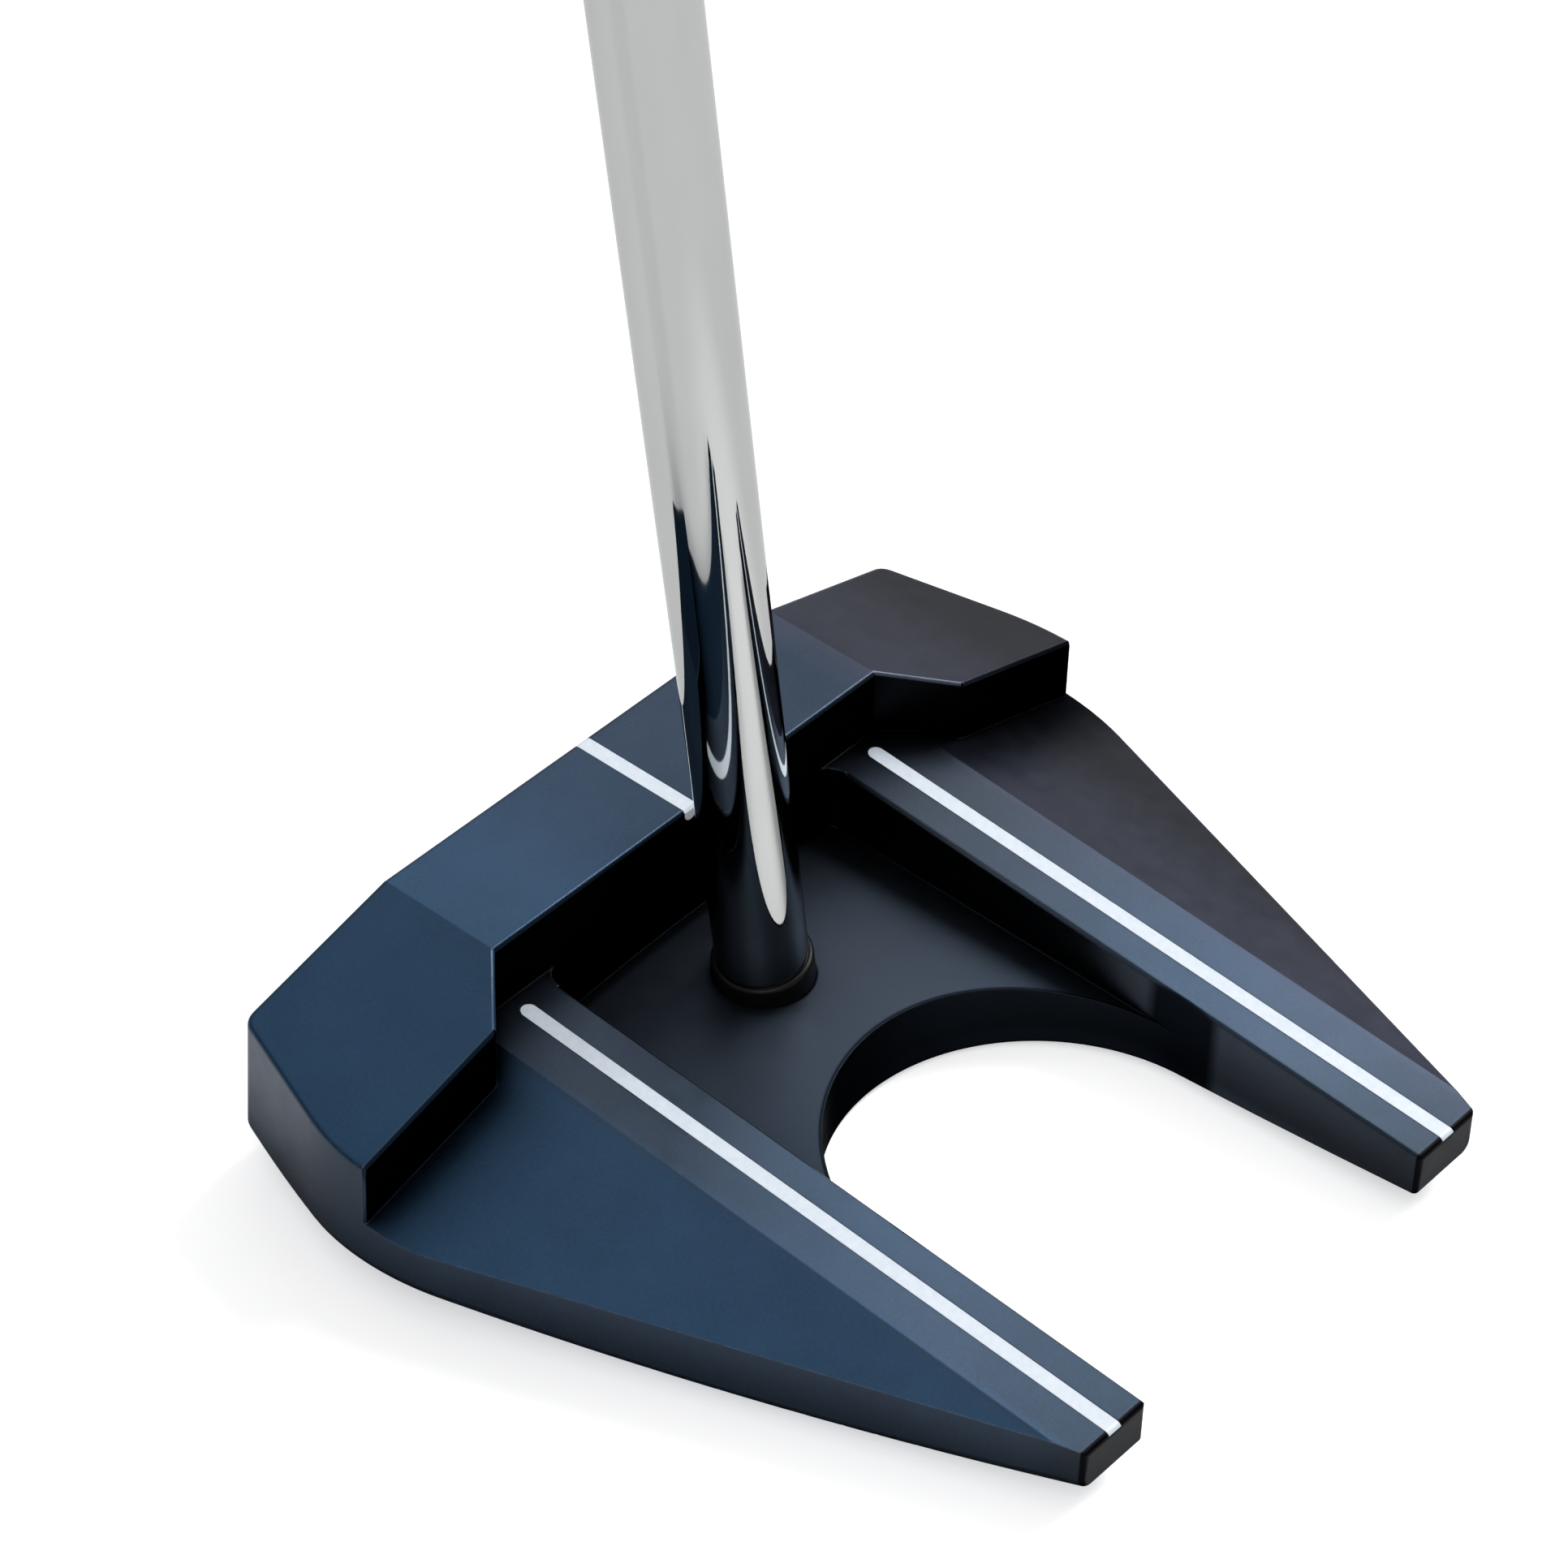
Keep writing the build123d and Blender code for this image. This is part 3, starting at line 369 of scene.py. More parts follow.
def insert_face():
    """Moulded urethane; the level grooves of the face get painted shade."""
    k = Mat("insert_urethane")
    near = k.n("AmbientOcclusion", samples=6, only_local=True)
    near.inputs["Distance"].default_value = 0.0005
    n1 = k.noise(2.2, 4.0, 0.6)
    tone = k.mix(k.range(k.noise(0.25, 3.0, 0.55), 0.35, 0.65), (0.185, 0.20, 0.22), (0.22, 0.235, 0.255))
    # painted shade: ambient occlusion darkens the colour in the grooves
    tone = k.mix(k.range(near.outputs["AO"], 0.55, 0.95, 1.0, 0.0), tone, (0.05, 0.058, 0.07))
    return k.set(color=tone, rough=k.range(n1, 0.3, 0.7, 0.42, 0.55), normal=k.bump(n1, 0.12, 0.03, k.bevel(0.08, 4)))


def tape_paper(name, a, b):
    k = Mat(name)
    weave = k.noise(4.0, 3.0, 0.7, stretch=(1.0, 0.25, 1.0))
    return k.set(color=k.mix(k.range(weave, 0.3, 0.7), a, b), rough=k.range(weave, 0.3, 0.7, 0.75, 0.9),
                 normal=k.bump(weave, 0.3, 0.03))


# ------------------------------------------------------------------ shaft
def revolve_profile(name, profile, seg=160, closed=True, smooth_angle=30):
    """profile: list of (radius, s) mm round the shaft's axis, walked so that the surface is closed."""
    verts, faces = [], []
    for r, s in profile:
        for i in range(seg):
            a = 2 * math.pi * i / seg
            verts.append(at(s, r * math.cos(a), r * math.sin(a)))
    n = len(profile)
    for j in range(n if closed else n - 1):
        for i in range(seg):
            a, b = j * seg + i, j * seg + (i + 1) % seg
            c, d = ((j + 1) % n) * seg + (i + 1) % seg, ((j + 1) % n) * seg + i
            faces.append((a, b, c, d))
    o = mesh_object(name, verts, faces)
    fix_normals(o)
    o.data.polygons.foreach_set("use_smooth", [True] * len(o.data.polygons))
    o.data.set_sharp_from_angle(angle=math.radians(smooth_angle))
    return o


def fix_normals(o):
    import bmesh
    bm = bmesh.new()
    bm.from_mesh(o.data)
    bmesh.ops.recalc_face_normals(bm, faces=bm.faces[:])
    bm.to_mesh(o.data)
    bm.free()
    o.data.update()


rows = [SEAT + 0.02, 0.0] + list(np.linspace(12.0, SHAFT_END - 0.3, 60))
outer = [(r_at(s), s) for s in rows] + [(r_at(SHAFT_END) - 0.12, SHAFT_END)]
inner = [(r_at(SHAFT_END) - WALL + 0.1, SHAFT_END), (r_at(SHAFT_END) - WALL, SHAFT_END - 0.3)] + \
        [(r_at(s) - WALL, s) for s in (600.0, 300.0, 60.0, 0.0, SEAT + 0.02)]
shaft_tube = revolve_profile("shaft_tube", outer + inner, seg=192)
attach(shaft_tube, "club")
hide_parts("shaft")

b0, b1 = 545.0, 577.0
band_rows = [(r_at(b0) + 0.005, b0), (r_at(b0) + 0.06, b0), (r_at(b0) + 0.09, b0 + 0.05)] + \
            [(r_at(s) + 0.10, s) for s in np.linspace(b0 + 0.2, b1 - 0.2, 20)] + \
            [(r_at(b1) + 0.09, b1 - 0.05), (r_at(b1) + 0.06, b1), (r_at(b1) + 0.005, b1)]
shaft_label = revolve_profile("shaft_band_film", band_rows, seg=160)
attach(shaft_label, "club")
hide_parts("shaft_band")


# ------------------------------------------------------------------ grip
def section_at(s):
    """(width, depth, back radius, front radius) of the grip s mm up the shaft."""
    S = GRIP_SECTIONS
    s = min(max(s, S[0, 0]), S[-1, 0])
    i = int(np.clip(np.searchsorted(S[:, 0], s) - 1, 0, len(S) - 2))
    h = S[i + 1, 0] - S[i, 0]
    t = (s - S[i, 0]) / h

    def slope(k):
        if k == 0:
            return (S[1, 1:] - S[0, 1:]) / (S[1, 0] - S[0, 0])
        if k == len(S) - 1:
            return (S[-1, 1:] - S[-2, 1:]) / (S[-1, 0] - S[-2, 0])
        return (S[k + 1, 1:] - S[k - 1, 1:]) / (S[k + 1, 0] - S[k - 1, 0])
    m0, m1 = slope(i) * h, slope(i + 1) * h
    return (2 * t**3 - 3 * t**2 + 1) * S[i, 1:] + (t**3 - 2 * t**2 + t) * m0 + \
           (-2 * t**3 + 3 * t**2) * S[i + 1, 1:] + (t**3 - t**2) * m1


def outline(w, d, rb, rf, count):
    """count points round the section, evenly spaced by length, starting in the middle of the back.
    Returns points (x, y), outward normals and the distance from the back's middle."""
    hw, hd = w / 2, d / 2
    rb, rf = min(rb, hw - 0.01), min(rf, hw - 0.01)
    seg = []   # right half, from the back's middle (0, hd) to the front's middle (0, -hd)
    seg.append(("l", (0, hd), (hw - rb, hd)))
    seg.append(("a", (hw - rb, hd - rb), rb, 90, 0))
    seg.append(("l", (hw, hd - rb), (hw, -hd + rf)))
    seg.append(("a", (hw - rf, -hd + rf), rf, 0, -90))
    seg.append(("l", (hw - rf, -hd), (0, -hd)))
    lens = []
    for g in seg:
        lens.append(math.dist(g[1], g[2]) if g[0] == "l" else g[2] * math.pi / 2)
    total = sum(lens)
    pts, nrm, dist = [], [], []
    half = count // 2
    for k in range(half + 1):
        u = total * k / half
        rest = u
        for g, L in zip(seg, lens):
            if rest <= L + 1e-9 or g is seg[-1]:
                f = min(max(rest / L if L > 1e-9 else 0.0, 0.0), 1.0)
                if g[0] == "l":
                    p = (g[1][0] + (g[2][0] - g[1][0]) * f, g[1][1] + (g[2][1] - g[1][1]) * f)
                    dx, dy = g[2][0] - g[1][0], g[2][1] - g[1][1]
                    q = math.hypot(dx, dy) or 1.0
                    nn = (-dy / q, dx / q)
                    nn = (nn[0], nn[1]) if nn[0] * p[0] + nn[1] * p[1] > 0 else (-nn[0], -nn[1])
                else:
                    a = math.radians(g[3] + (g[4] - g[3]) * f)
                    nn = (math.cos(a), math.sin(a))
                    p = (g[1][0] + g[2] * nn[0], g[1][1] + g[2] * nn[1])
                pts.append(p), nrm.append(nn), dist.append(u)
                break
            rest -= L
    for k in range(half - 1, 0, -1):
        pts.append((-pts[k][0], pts[k][1]))
        nrm.append((-nrm[k][0], nrm[k][1]))
        dist.append(-dist[k])
    return np.array(pts), np.array(nrm), np.array(dist), total


G0, G1 = 612.0, 879.0
COUNT = 176
ROWS = np.concatenate([np.linspace(G0, G0 + 3.0, 9)[:-1], np.linspace(G0 + 3.0, G1 - 1.5, 520), [G1 - 0.9, G1 - 0.4, G1]])


def smooth01(x):
    x = np.clip(x, 0.0, 1.0)
    return x * x * (3 - 2 * x)


def grip_relief(s, dist, total):
    """Depth below the plain surface (mm) at s up the shaft and dist round from the back's middle."""
    out = np.zeros_like(dist)
    # seam down the middle of the back
    out += 0.42 * np.exp(-(dist / 0.32) ** 2)
    # panel lines that bound the gripping surface
    fd = total - np.abs(dist)                      # distance from the front's middle
    for edge in (0.30 * total,):
        out += 0.16 * np.exp(-((fd - edge) / 0.30) ** 2)
    # rounded dimples in rows round the grip, kept off the seam and the panel lines
    inside = smooth01((s - (G0 + 16)) / 4) * smooth01(((G1 - 22) - s) / 4)
    pitch = 3.3
    row = np.floor(dist / (pitch * 0.866) + 0.5)
    dx = dist - row * pitch * 0.866
    ss = s + (row % 2) * pitch / 2
    dy = ss - np.round(ss / pitch) * pitch
    q = np.hypot(dx, dy)
    dimple = 0.24 * smooth01((1.18 - q) / 0.65)
    keep = smooth01((np.abs(dist) - 2.6) / 0.8)
    keep = keep * (1 - np.exp(-((fd - 0.30 * total) / 0.9) ** 2))
    out += inside * dimple * keep
    # two inlaid rings near each end
    for c in (G0 + 9.5, G0 + 12.0, G1 - 13.5, G1 - 16.0):
        out += 0.22 * math.exp(-((s - c) / 0.42) ** 2)
    return out


gv, gf, gd = [], [], []
for s in ROWS:
    w, d, rb, rf = section_at(s)
    roll = 0.0
    if s < G0 + 2.4:                                # rolled lower lip
        roll = 1.15 * (1 - math.sqrt(max(0.0, 1 - ((G0 + 2.4 - s) / 2.4) ** 2)))
    if s > G1 - 0.9:                                # soft top edge under the cap
        roll = 0.35 * ((s - (G1 - 0.9)) / 0.9) ** 2
    p, nn, dist, total = outline(w, d, rb, rf, COUNT)
    cut = grip_relief(s, dist, total) + roll
    q = p - nn * cut[:, None]
    for i in range(len(q)):
        gv.append(at(s, q[i, 0], q[i, 1]))
        gd.append(dist[i] / total)
n_round = len(q)
R = len(ROWS)
for j in range(R - 1):
    for i in range(n_round):
        a, b = j * n_round + i, j * n_round + (i + 1) % n_round
        gf.append((a, b, b + n_round, a + n_round))
# closing annuli: the wrap is a skin over the core
for j, s in ((0, G0), (R - 1, G1)):
    start = len(gv)
    w, d, rb, rf = section_at(s)
    p, nn, dist, total = outline(w - 3.0, d - 3.0, rb - 1.5, rf - 1.5, COUNT)
    for i in range(n_round):
        gv.append(at(s, p[i, 0], p[i, 1]))
        gd.append(dist[i] / total)
    for i in range(n_round):
        a, b = j * n_round + i, j * n_round + (i + 1) % n_round
        c, e = start + (i + 1) % n_round, start + i
        gf.append((b, a, e, c) if j == 0 else (a, b, c, e))
lo_ring, hi_ring = R * n_round, (R + 1) * n_round
steps = 12
prev = lo_ring
for kk in range(1, steps + 1):
    if kk == steps:
        cur = hi_ring
    else:
        s = G0 + (G1 - G0) * kk / steps
        cur = len(gv)
        w, d, rb, rf = section_at(s)
        p, nn, dist, total = outline(w - 3.0, d - 3.0, rb - 1.5, rf - 1.5, COUNT)
        for i in range(n_round):
            gv.append(at(s, p[i, 0], p[i, 1]))
            gd.append(dist[i] / total)
    for i in range(n_round):
        a, b = prev + i, prev + (i + 1) % n_round
        c, e = cur + (i + 1) % n_round, cur + i
        gf.append((b, a, e, c))
    prev = cur
grip_skin = mesh_object("grip_wrap_skin", gv, gf)
fix_normals(grip_skin)
grip_skin.data.polygons.foreach_set("use_smooth", [True] * len(grip_skin.data.polygons))
grip_skin.data.set_sharp_from_angle(angle=math.radians(60))
att = grip_skin.data.attributes.new("round", "FLOAT", "POINT")
att.data.foreach_set("value", np.array(gd, np.float32))
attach(grip_skin, "club")
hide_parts("grip_wrap")


def tube_along(points, radius, seg=8):
    """Vertices and faces of a round thread along points (metres), with closed ends."""
    pts = [Vector(p) for p in points]
    verts, faces = [], []
    for i, p in enumerate(pts):
        t = (pts[min(i + 1, len(pts) - 1)] - pts[max(i - 1, 0)]).normalized()
        u = t.orthogonal().normalized() if i == 0 else (u - t * u.dot(t)).normalized()
        v = t.cross(u)
        r = radius * (0.55 if i in (0, len(pts) - 1) else 1.0)
        for k in range(seg):
            a = 2 * math.pi * k / seg
            verts.append(p + u * (r * math.cos(a)) + v * (r * math.sin(a)))
    for i in range(len(pts) - 1):
        for k in range(seg):
            a, b = i * seg + k, i * seg + (k + 1) % seg
            faces.append((a, b, b + seg, a + seg))
    faces.append(tuple(range(seg - 1, -1, -1)))
    faces.append(tuple((len(pts) - 1) * seg + k for k in range(seg)))
    return verts, faces


tv, tf = [], []
s = G0 + 18.0
while s < G1 - 22.0:
    w, d, rb, rf = section_at(s + 1.5)
    for sign in (1, -1):
        pts = []
        for t in np.linspace(-1, 1, 9):
            x = 1.25 * t
            arch = 0.10 - 0.34 * abs(t) ** 5
            pts.append(at(s + 1.5 + sign * t * 1.5, x, d / 2 + arch))
        v, f = tube_along(pts, 0.00021)
        off = len(tv)
        tv += v
        tf += [tuple(i + off for i in q) for q in f]
    s += 3.6
stitches = mesh_object("grip_seam_stitches", tv, tf, 40)
fix_normals(stitches)
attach(stitches, "club")

# end cap: a moulded cap with a raised rim, a sunk face, rings and the vent
cap_s = [(0.0, 0.25), (0.25, 0.0), (2.0, 0.0), (2.6, 0.15), (3.2, 0.55), (3.7, 1.2), (3.95, 2.0), (4.0, 3.0)]
cv, cf = [], []
w, d, rb, rf = section_at(G1)
rings = []
for ds, inset in cap_s:
    p, nn, dist, total = outline(w - 2 * inset, d - 2 * inset, rb - inset, max(rf - inset, 1.0), COUNT)
    rings.append((G1 + ds, p))
base_p = rings[-1][1]
for f, ds in ((0.93, 4.0), (0.90, 3.95), (0.88, 3.55), (0.86, 3.45), (0.62, 3.45), (0.60, 3.50), (0.585, 3.75), (0.56, 3.80),
              (0.44, 3.80), (0.42, 3.75), (0.405, 3.50), (0.38, 3.45)):
    rings.append((G1 + ds, base_p * f))
for r, ds in ((2.6, 3.45), (2.4, 3.55), (2.2, 3.85), (1.75, 3.9), (1.5, 3.75), (1.4, 3.4), (1.4, -0.0)):
    ang = np.arctan2(base_p[:, 1] / d, base_p[:, 0] / w)
    rings.append((G1 + ds, np.c_[r * np.cos(ang), r * np.sin(ang)]))
for s, p in rings:
    for i in range(n_round):
        cv.append(at(s, p[i, 0], p[i, 1]))
for j in range(len(rings)):
    for i in range(n_round):
        a, b = j * n_round + i, j * n_round + (i + 1) % n_round
        k2 = (j + 1) % len(rings)
        cf.append((a, b, k2 * n_round + (i + 1) % n_round, k2 * n_round + i))
cap = mesh_object("grip_end_cap_moulded", cv, cf)
fix_normals(cap)
cap.data.polygons.foreach_set("use_smooth", [True] * len(cap.data.polygons))
cap.data.set_sharp_from_angle(angle=math.radians(50))
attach(cap, "club")
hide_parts("grip_end_cap")


def grip_material():
    """Soft-touch polyurethane: pebble texture, darker in the relief, accent rings at the ends."""
    k = Mat("grip_wrap_polyurethane")
    rot = k.n("VectorMath", operation="SUBTRACT")
    k.l(k.mm, rot.inputs[0])
    rot.inputs[1].default_value = tuple(BASE)
    dot = k.n("VectorMath", operation="DOT_PRODUCT")
    k.l(rot.outputs[0], dot.inputs[0])
    dot.inputs[1].default_value = tuple(AX)
    s = dot.outputs["Value"]
    pebble = k.n("TexVoronoi")
    pebble.feature = "SMOOTH_F1"
    k.l(k.mm, pebble.inputs["Vector"])
    pebble.inputs["Scale"].default_value = 1.6
    fine = k.noise(3.0, 3.0, 0.6)
    cloud = k.noise(0.06, 3.0, 0.6)
    tone = k.mix(k.range(cloud, 0.35, 0.65), (0.012, 0.018, 0.028), (0.020, 0.027, 0.040))
    tone = k.mix(k.range(fine, 0.35, 0.75, 0.0, 0.5), tone, (0.035, 0.042, 0.055))
    # accent rings sit in the inlaid grooves
    for c, colour in ((G0 + 9.5, (0.62, 0.66, 0.70)), (G0 + 12.0, (0.05, 0.13, 0.26)),
                      (G1 - 13.5, (0.62, 0.66, 0.70)), (G1 - 16.0, (0.05, 0.13, 0.26))):
        d = k.math("ABSOLUTE", k.math("SUBTRACT", s, c))
        tone = k.mix(k.range(d, 0.55, 0.70, 1.0, 0.0), tone, colour)
    height = k.math("ADD", k.math("MULTIPLY", pebble.outputs["Distance"], -0.6), k.math("MULTIPLY", fine, 0.5))
    return k.set(color=tone, rough=k.range(fine, 0.3, 0.7, 0.52, 0.68), sheen=0.12, sheen_rough=0.4,
                 normal=k.bump(height, 0.35, 0.10))


def thread_material():
    k = Mat("seam_thread")
    twist = k.n("TexWave", wave_type="BANDS", bands_direction="DIAGONAL")
    k.l(k.mm, twist.inputs["Vector"])
    twist.inputs["Scale"].default_value = 3.0
    tone = k.mix(k.range(twist.outputs["Fac"], 0.2, 0.8), (0.20, 0.23, 0.27), (0.42, 0.45, 0.49))
    return k.set(color=tone, rough=0.8, sheen=0.4, normal=k.bump(twist.outputs["Fac"], 0.5, 0.05))


def film_material():
    """Plain dark film with two silver hairlines and no lettering."""
    k = Mat("band_film")
    rot = k.n("VectorMath", operation="SUBTRACT")
    k.l(k.mm, rot.inputs[0])
    rot.inputs[1].default_value = tuple(BASE)
    dot = k.n("VectorMath", operation="DOT_PRODUCT")
    k.l(rot.outputs[0], dot.inputs[0])
    dot.inputs[1].default_value = tuple(AX)
    s = dot.outputs["Value"]
    tone = k.mix(k.range(k.noise(0.5, 2.0), 0.35, 0.65), (0.018, 0.032, 0.058), (0.026, 0.042, 0.070))
    for c in (b0 + 2.2, b1 - 2.2):
        d = k.math("ABSOLUTE", k.math("SUBTRACT", s, c))
        tone = k.mix(k.range(d, 0.32, 0.40, 1.0, 0.0), tone, (0.62, 0.64, 0.66))
    return k.set(color=tone, rough=k.range(k.noise(2.0, 3.0), 0.3, 0.7, 0.16, 0.26), coat=0.6, coat_rough=0.08,
                 normal=k.bump(k.noise(0.8, 2.0), 0.05, 0.05))


# ------------------------------------------------------------------ materials on pieces
def paint(o, m):
    o.data.materials.clear()
    o.data.materials.append(m)
    for p in o.data.polygons:
        p.material_index = 0


head_mat = head_finish()
paint(N["head_body"], head_mat)
white = paint_white()
for n in ("sight_line_centre", "sight_line_heel", "sight_line_toe"):
    paint(N[n], white)
paint(shaft_tube, chrome())
paint(N["shaft_ferrule"], ferrule_black())
paint(shaft_label, film_material())
paint(grip_skin, grip_material())
paint(stitches, thread_material())
paint(cap, polymer("grip_cap_rubber", (0.012, 0.014, 0.018), (0.020, 0.023, 0.028), (0.5, 0.65), 4.0, 0.25))
paint(N["grip_core"], polymer("grip_core_foam", (0.035, 0.035, 0.038), (0.055, 0.055, 0.06), (0.8, 0.95), 2.0, 0.5, bevel=0.1))
paint(N["grip_tape"], tape_paper("grip_tape_paper", (0.70, 0.66, 0.55), (0.80, 0.76, 0.66)))
paint(N["face_insert_adhesive"], tape_paper("insert_tape", (0.72, 0.72, 0.70), (0.82, 0.82, 0.80)))
paint(N["face_insert_backer"], steel("insert_backer", (0.60, 0.61, 0.63), (0.72, 0.73, 0.75), brushed=(0.03, 1, 1)))
paint(N["face_insert_striking_layer"], insert_face())
paint(N["sole_plate"], steel("sole_plate_satin", (0.055, 0.075, 0.105), (0.085, 0.105, 0.14), (0.26, 0.38), brushed=(0.03, 1, 1)))
paint(N["sole_plate_screws"], steel("sole_screws", (0.34, 0.35, 0.37), (0.48, 0.49, 0.51), brushed=(1, 1, 1)))
paint(N["hosel_spud"], steel("post_steel", (0.42, 0.42, 0.43), (0.55, 0.55, 0.56), brushed=(1, 1, 0.03)))
paint(N["shaft_epoxy"], polymer("epoxy", (0.55, 0.50, 0.38), (0.62, 0.57, 0.45), (0.2, 0.3), 1.0, 0.1))
for side, x in (("heel", -34.5), ("toe", 34.5)):
    paint(N[side + "_weight_screw"], steel(side + "_weight_steel", (0.46, 0.47, 0.49), (0.62, 0.63, 0.65), (0.20, 0.32),
                                           turned_at=(x, -11.2, 0.0)))
    paint(N[side + "_weight_washer"], polymer(side + "_washer_rubber", (0.02, 0.02, 0.02), (0.03, 0.03, 0.03), (0.7, 0.85), 3.0, 0.3))

# ------------------------------------------------------------------ floor
fm = bpy.data.materials.new("floor")
fm.use_nodes = True
t = fm.node_tree
t.nodes.clear()
out = t.nodes.new("ShaderNodeOutputMaterial")
dif = t.nodes.new("ShaderNodeBsdfDiffuse")
fco = t.nodes.new("ShaderNodeTexCoord")                       # pale grey, palest right under the head; painted shade: the floor is darker away from the head and towards +X, which dims what the chrome shaft reflects
fdist = t.nodes.new("ShaderNodeVectorMath")
fdist.operation = "DISTANCE"
fdist.inputs[1].default_value = (0.0, -0.07, 0.0)
t.links.new(fco.outputs["Object"], fdist.inputs[0])
fxyz = t.nodes.new("ShaderNodeSeparateXYZ")
t.links.new(fco.outputs["Object"], fxyz.inputs[0])
side = t.nodes.new("ShaderNodeMapRange")
side.interpolation_type = "SMOOTHSTEP"
side.inputs["From Min"].default_value, side.inputs["From Max"].default_value = -0.10, 0.14
side.inputs["To Min"].default_value, side.inputs["To Max"].default_value = 0.72, 0.65
t.links.new(fxyz.outputs["X"], side.inputs["Value"])
fade = t.nodes.new("ShaderNodeMapRange")
fade.interpolation_type = "SMOOTHSTEP"
fade.inputs["From Min"].default_value, fade.inputs["From Max"].default_value = 0.025, 0.070
t.links.new(fdist.outputs["Value"], fade.inputs["Value"])
tone = t.nodes.new("ShaderNodeMix")
tone.data_type = "FLOAT"
t.links.new(fade.outputs[0], tone.inputs[0])
tone.inputs[2].default_value = 0.88
t.links.new(side.outputs[0], tone.inputs[3])
t.links.new(tone.outputs[0], dif.inputs["Color"])
emi = t.nodes.new("ShaderNodeEmission")
emi.inputs["Color"].default_value = (1, 1, 1, 1)
lp = t.nodes.new("ShaderNodeLightPath")
cam_only = t.nodes.new("ShaderNodeMath")
cam_only.operation = "MULTIPLY"
cam_only.inputs[1].default_value = 0.52
t.links.new(lp.outputs["Is Camera Ray"], cam_only.inputs[0])
t.links.new(cam_only.outputs[0], emi.inputs["Strength"])
add = t.nodes.new("ShaderNodeAddShader")
t.links.new(dif.outputs[0], add.inputs[0])
t.links.new(emi.outputs[0], add.inputs[1])
clear = t.nodes.new("ShaderNodeBsdfTransparent")
geo = t.nodes.new("ShaderNodeNewGeometry")
pick = t.nodes.new("ShaderNodeMixShader")
near_floor = t.nodes.new("ShaderNodeMath")                   # the sole sees past the floor it stands on
near_floor.operation = "LESS_THAN"
near_floor.inputs[1].default_value = 0.0045
t.links.new(lp.outputs["Ray Length"], near_floor.inputs[0])
steep = t.nodes.new("ShaderNodeSeparateXYZ")
t.links.new(geo.outputs["Incoming"], steep.inputs[0])
steep_if = t.nodes.new("ShaderNodeMath")
steep_if.operation = "GREATER_THAN"
steep_if.inputs[1].default_value = 0.45
t.links.new(steep.outputs["Z"], steep_if.inputs[0])
short = t.nodes.new("ShaderNodeMath")
short.operation = "MULTIPLY"
t.links.new(near_floor.outputs[0], short.inputs[0])
t.links.new(steep_if.outputs[0], short.inputs[1])
see = t.nodes.new("ShaderNodeMath")
see.operation = "MAXIMUM"
t.links.new(geo.outputs["Backfacing"], see.inputs[0])
t.links.new(short.outputs[0], see.inputs[1])
t.links.new(see.outputs[0], pick.inputs[0])
t.links.new(add.outputs[0], pick.inputs[1])
t.links.new(clear.outputs[0], pick.inputs[2])
t.links.new(pick.outputs[0], out.inputs[0])
floor = mesh_object("floor", [(-8, -8, -0.0002), (8, -8, -0.0002), (8, 8, -0.0002), (-8, 8, -0.0002)], [(0, 1, 2, 3)])
floor.data.materials.append(fm)

# ------------------------------------------------------------------ light
world = bpy.data.worlds.new("studio")
bpy.context.scene.world = world
world.use_nodes = True
w = world.node_tree
w.nodes.clear()
wo = w.nodes.new("ShaderNodeOutputWorld")
bg = w.nodes.new("ShaderNodeBackground")
bgc = w.nodes.new("ShaderNodeBackground")
bgc.inputs["Color"].default_value = (1, 1, 1, 1)
bgc.inputs["Strength"].default_value = 1.0
mx = w.nodes.new("ShaderNodeMixShader")
lpw = w.nodes.new("ShaderNodeLightPath")
tc = w.nodes.new("ShaderNodeTexCoord")
sx = w.nodes.new("ShaderNodeSeparateXYZ")
w.links.new(tc.outputs["Generated"], sx.inputs[0])
rp = w.nodes.new("ShaderNodeValToRGB")
rp.color_ramp.elements[0].position = 0.0
rp.color_ramp.elements[0].color = (0.55, 0.56, 0.58, 1)
rp.color_ramp.elements[1].position = 1.0
rp.color_ramp.elements[1].color = (0.80, 0.81, 0.82, 1)
for pos, v in ((0.22, 1.05), (0.47, 0.85), (0.53, 0.50), (0.62, 0.36), (0.80, 0.32), (0.90, 0.66)):
    e = rp.color_ramp.elements.new(pos)
    e.color = (v, v, v * 1.02, 1)
mr = w.nodes.new("ShaderNodeMapRange")
mr.inputs["From Min"].default_value, mr.inputs["From Max"].default_value = -1, 1
w.links.new(sx.outputs["Z"], mr.inputs["Value"])
w.links.new(mr.outputs[0], rp.inputs[0])
w.links.new(rp.outputs[0], bg.inputs["Color"])
w.links.new(lpw.outputs["Is Camera Ray"], mx.inputs[0])
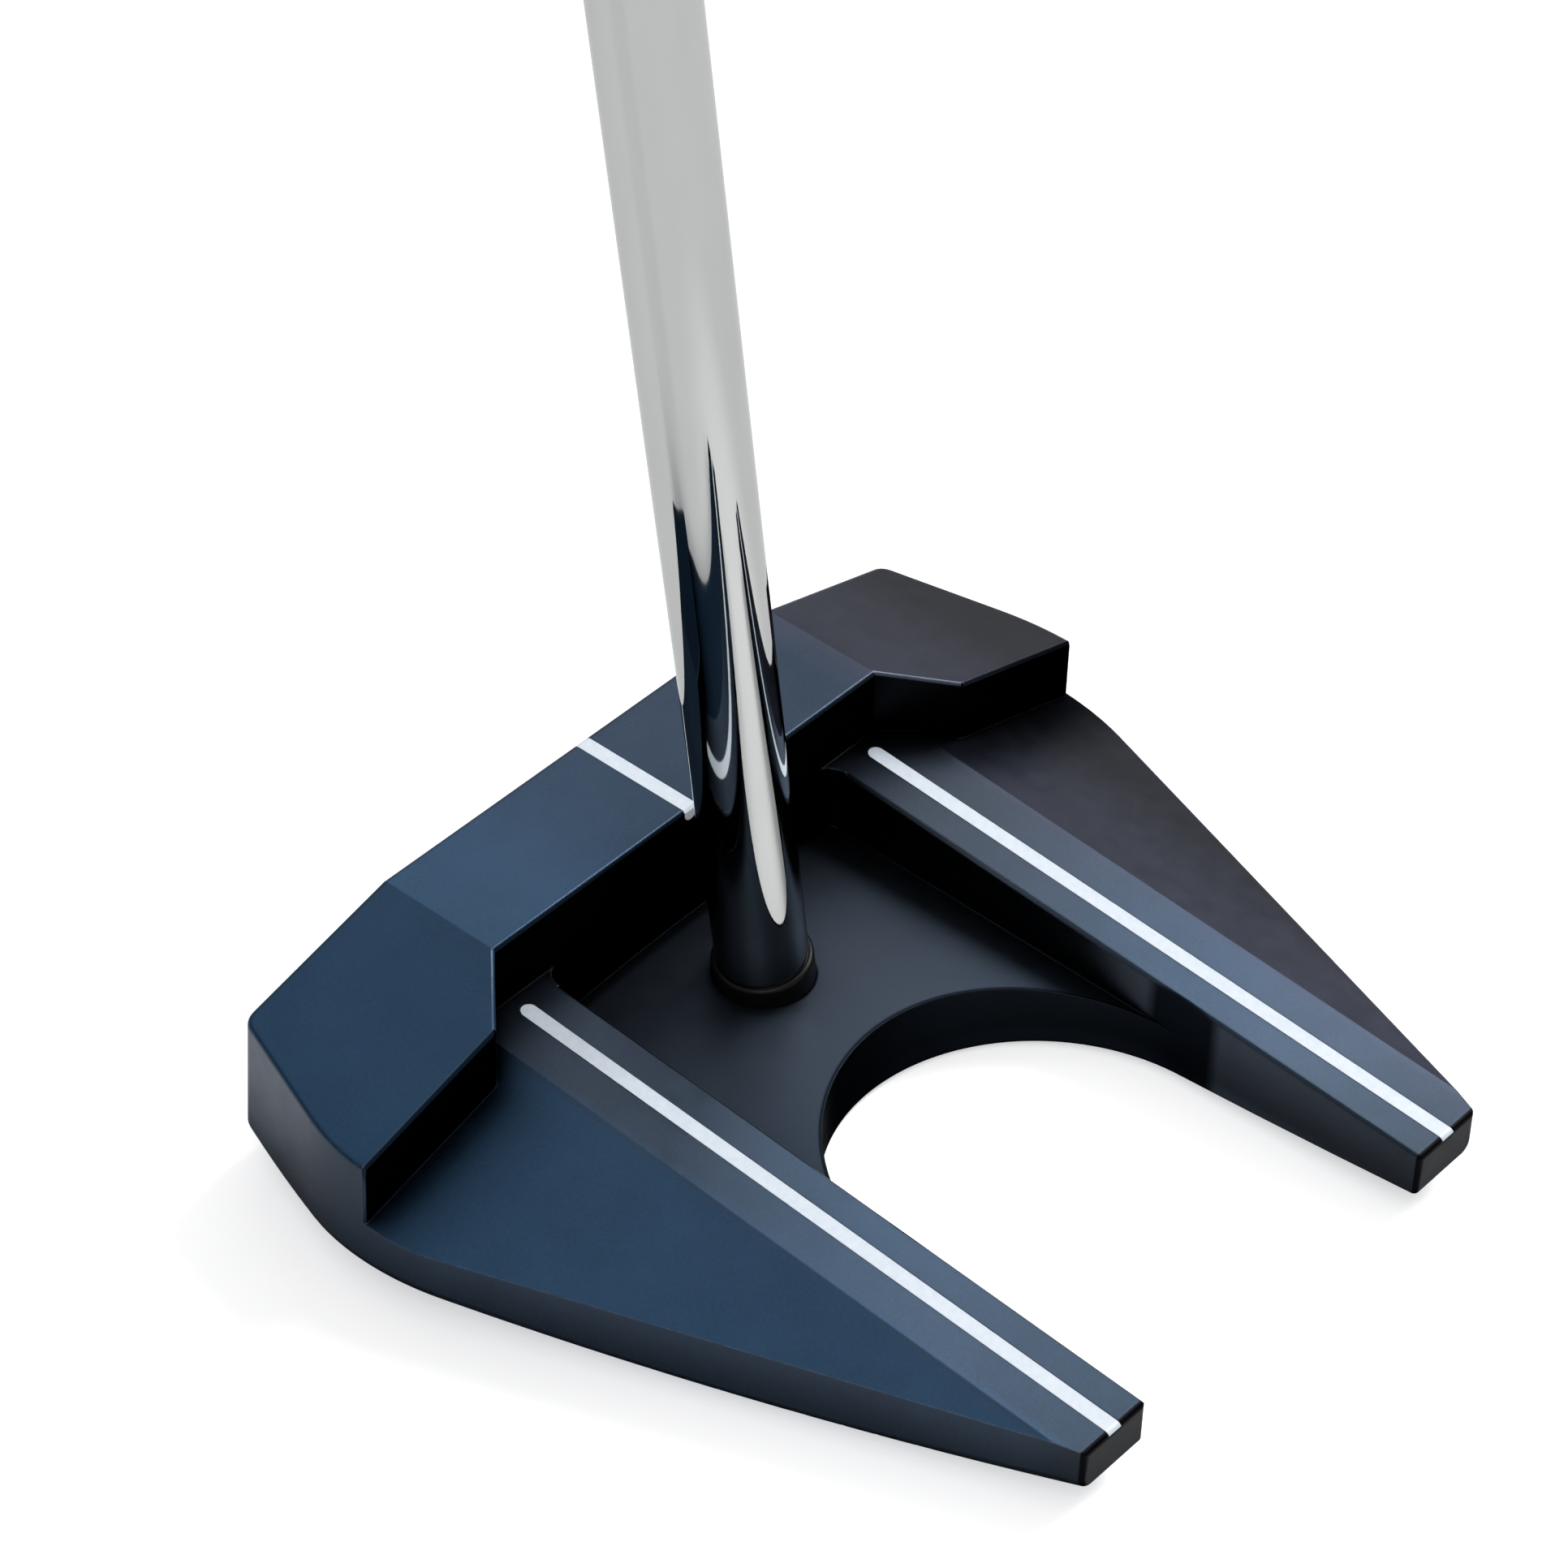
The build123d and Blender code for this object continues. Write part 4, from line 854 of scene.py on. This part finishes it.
w.links.new(bg.outputs[0], mx.inputs[1])
w.links.new(bgc.outputs[0], mx.inputs[2])
w.links.new(mx.outputs[0], wo.inputs[0])


def area(name, loc, target, size, power, colour=(1, 1, 1)):
    d = bpy.data.lights.new(name, "AREA")
    d.shape = "RECTANGLE"
    d.size, d.size_y = size
    d.energy = power
    d.color = colour
    o = bpy.data.objects.new(name, d)
    bpy.context.scene.collection.objects.link(o)
    o.location = loc
    o.rotation_euler = (Vector(target) - Vector(loc)).to_track_quat("-Z", "Y").to_euler()
    o.visible_camera = False
    return o


area("key", (1.35, -0.30, 1.45), (0, -0.03, 0.0), (0.9, 0.9), 26.0)
area("sheen", (1.05, 0.85, 1.15), (0, -0.03, 0.0), (1.0, 0.8), 2.2)
area("tips", (0.26, 0.0, 0.31), (0.0, -0.085, 0.0), (0.16, 0.12), 0.10)
area("fill", (-1.3, -1.0, 1.9), (0, -0.03, 0.2), (1.2, 1.2), 12.0, (1.0, 1.0, 1.0))

# ------------------------------------------------------------------ camera
az, el, roll = math.radians(-51.07), math.radians(39.994), math.radians(2.15)
back = Vector((math.sin(az) * math.cos(el), -math.cos(az) * math.cos(el), math.sin(el)))
right = Vector((math.cos(az), math.sin(az), 0.0))
up = back.cross(right)
r2 = right * math.cos(roll) + up * math.sin(roll)
u2 = -right * math.sin(roll) + up * math.cos(roll)
cam_data = bpy.data.cameras.new("camera")
cam_data.sensor_width = 36.0
cam_data.lens = 7196.24 / 1932.0 * 36.0
cam_data.clip_start, cam_data.clip_end = 0.01, 100.0
cam = bpy.data.objects.new("camera", cam_data)
bpy.context.scene.collection.objects.link(cam)
pos = Vector((0.031043, -0.000697, 0.0)) + back * 0.620262
cam.matrix_world = Matrix(((r2.x, u2.x, back.x, pos.x), (r2.y, u2.y, back.y, pos.y), (r2.z, u2.z, back.z, pos.z), (0, 0, 0, 1)))
bpy.context.scene.camera = cam

bpy.context.scene.view_settings.view_transform = "Standard"
bpy.context.scene.view_settings.look = "None"
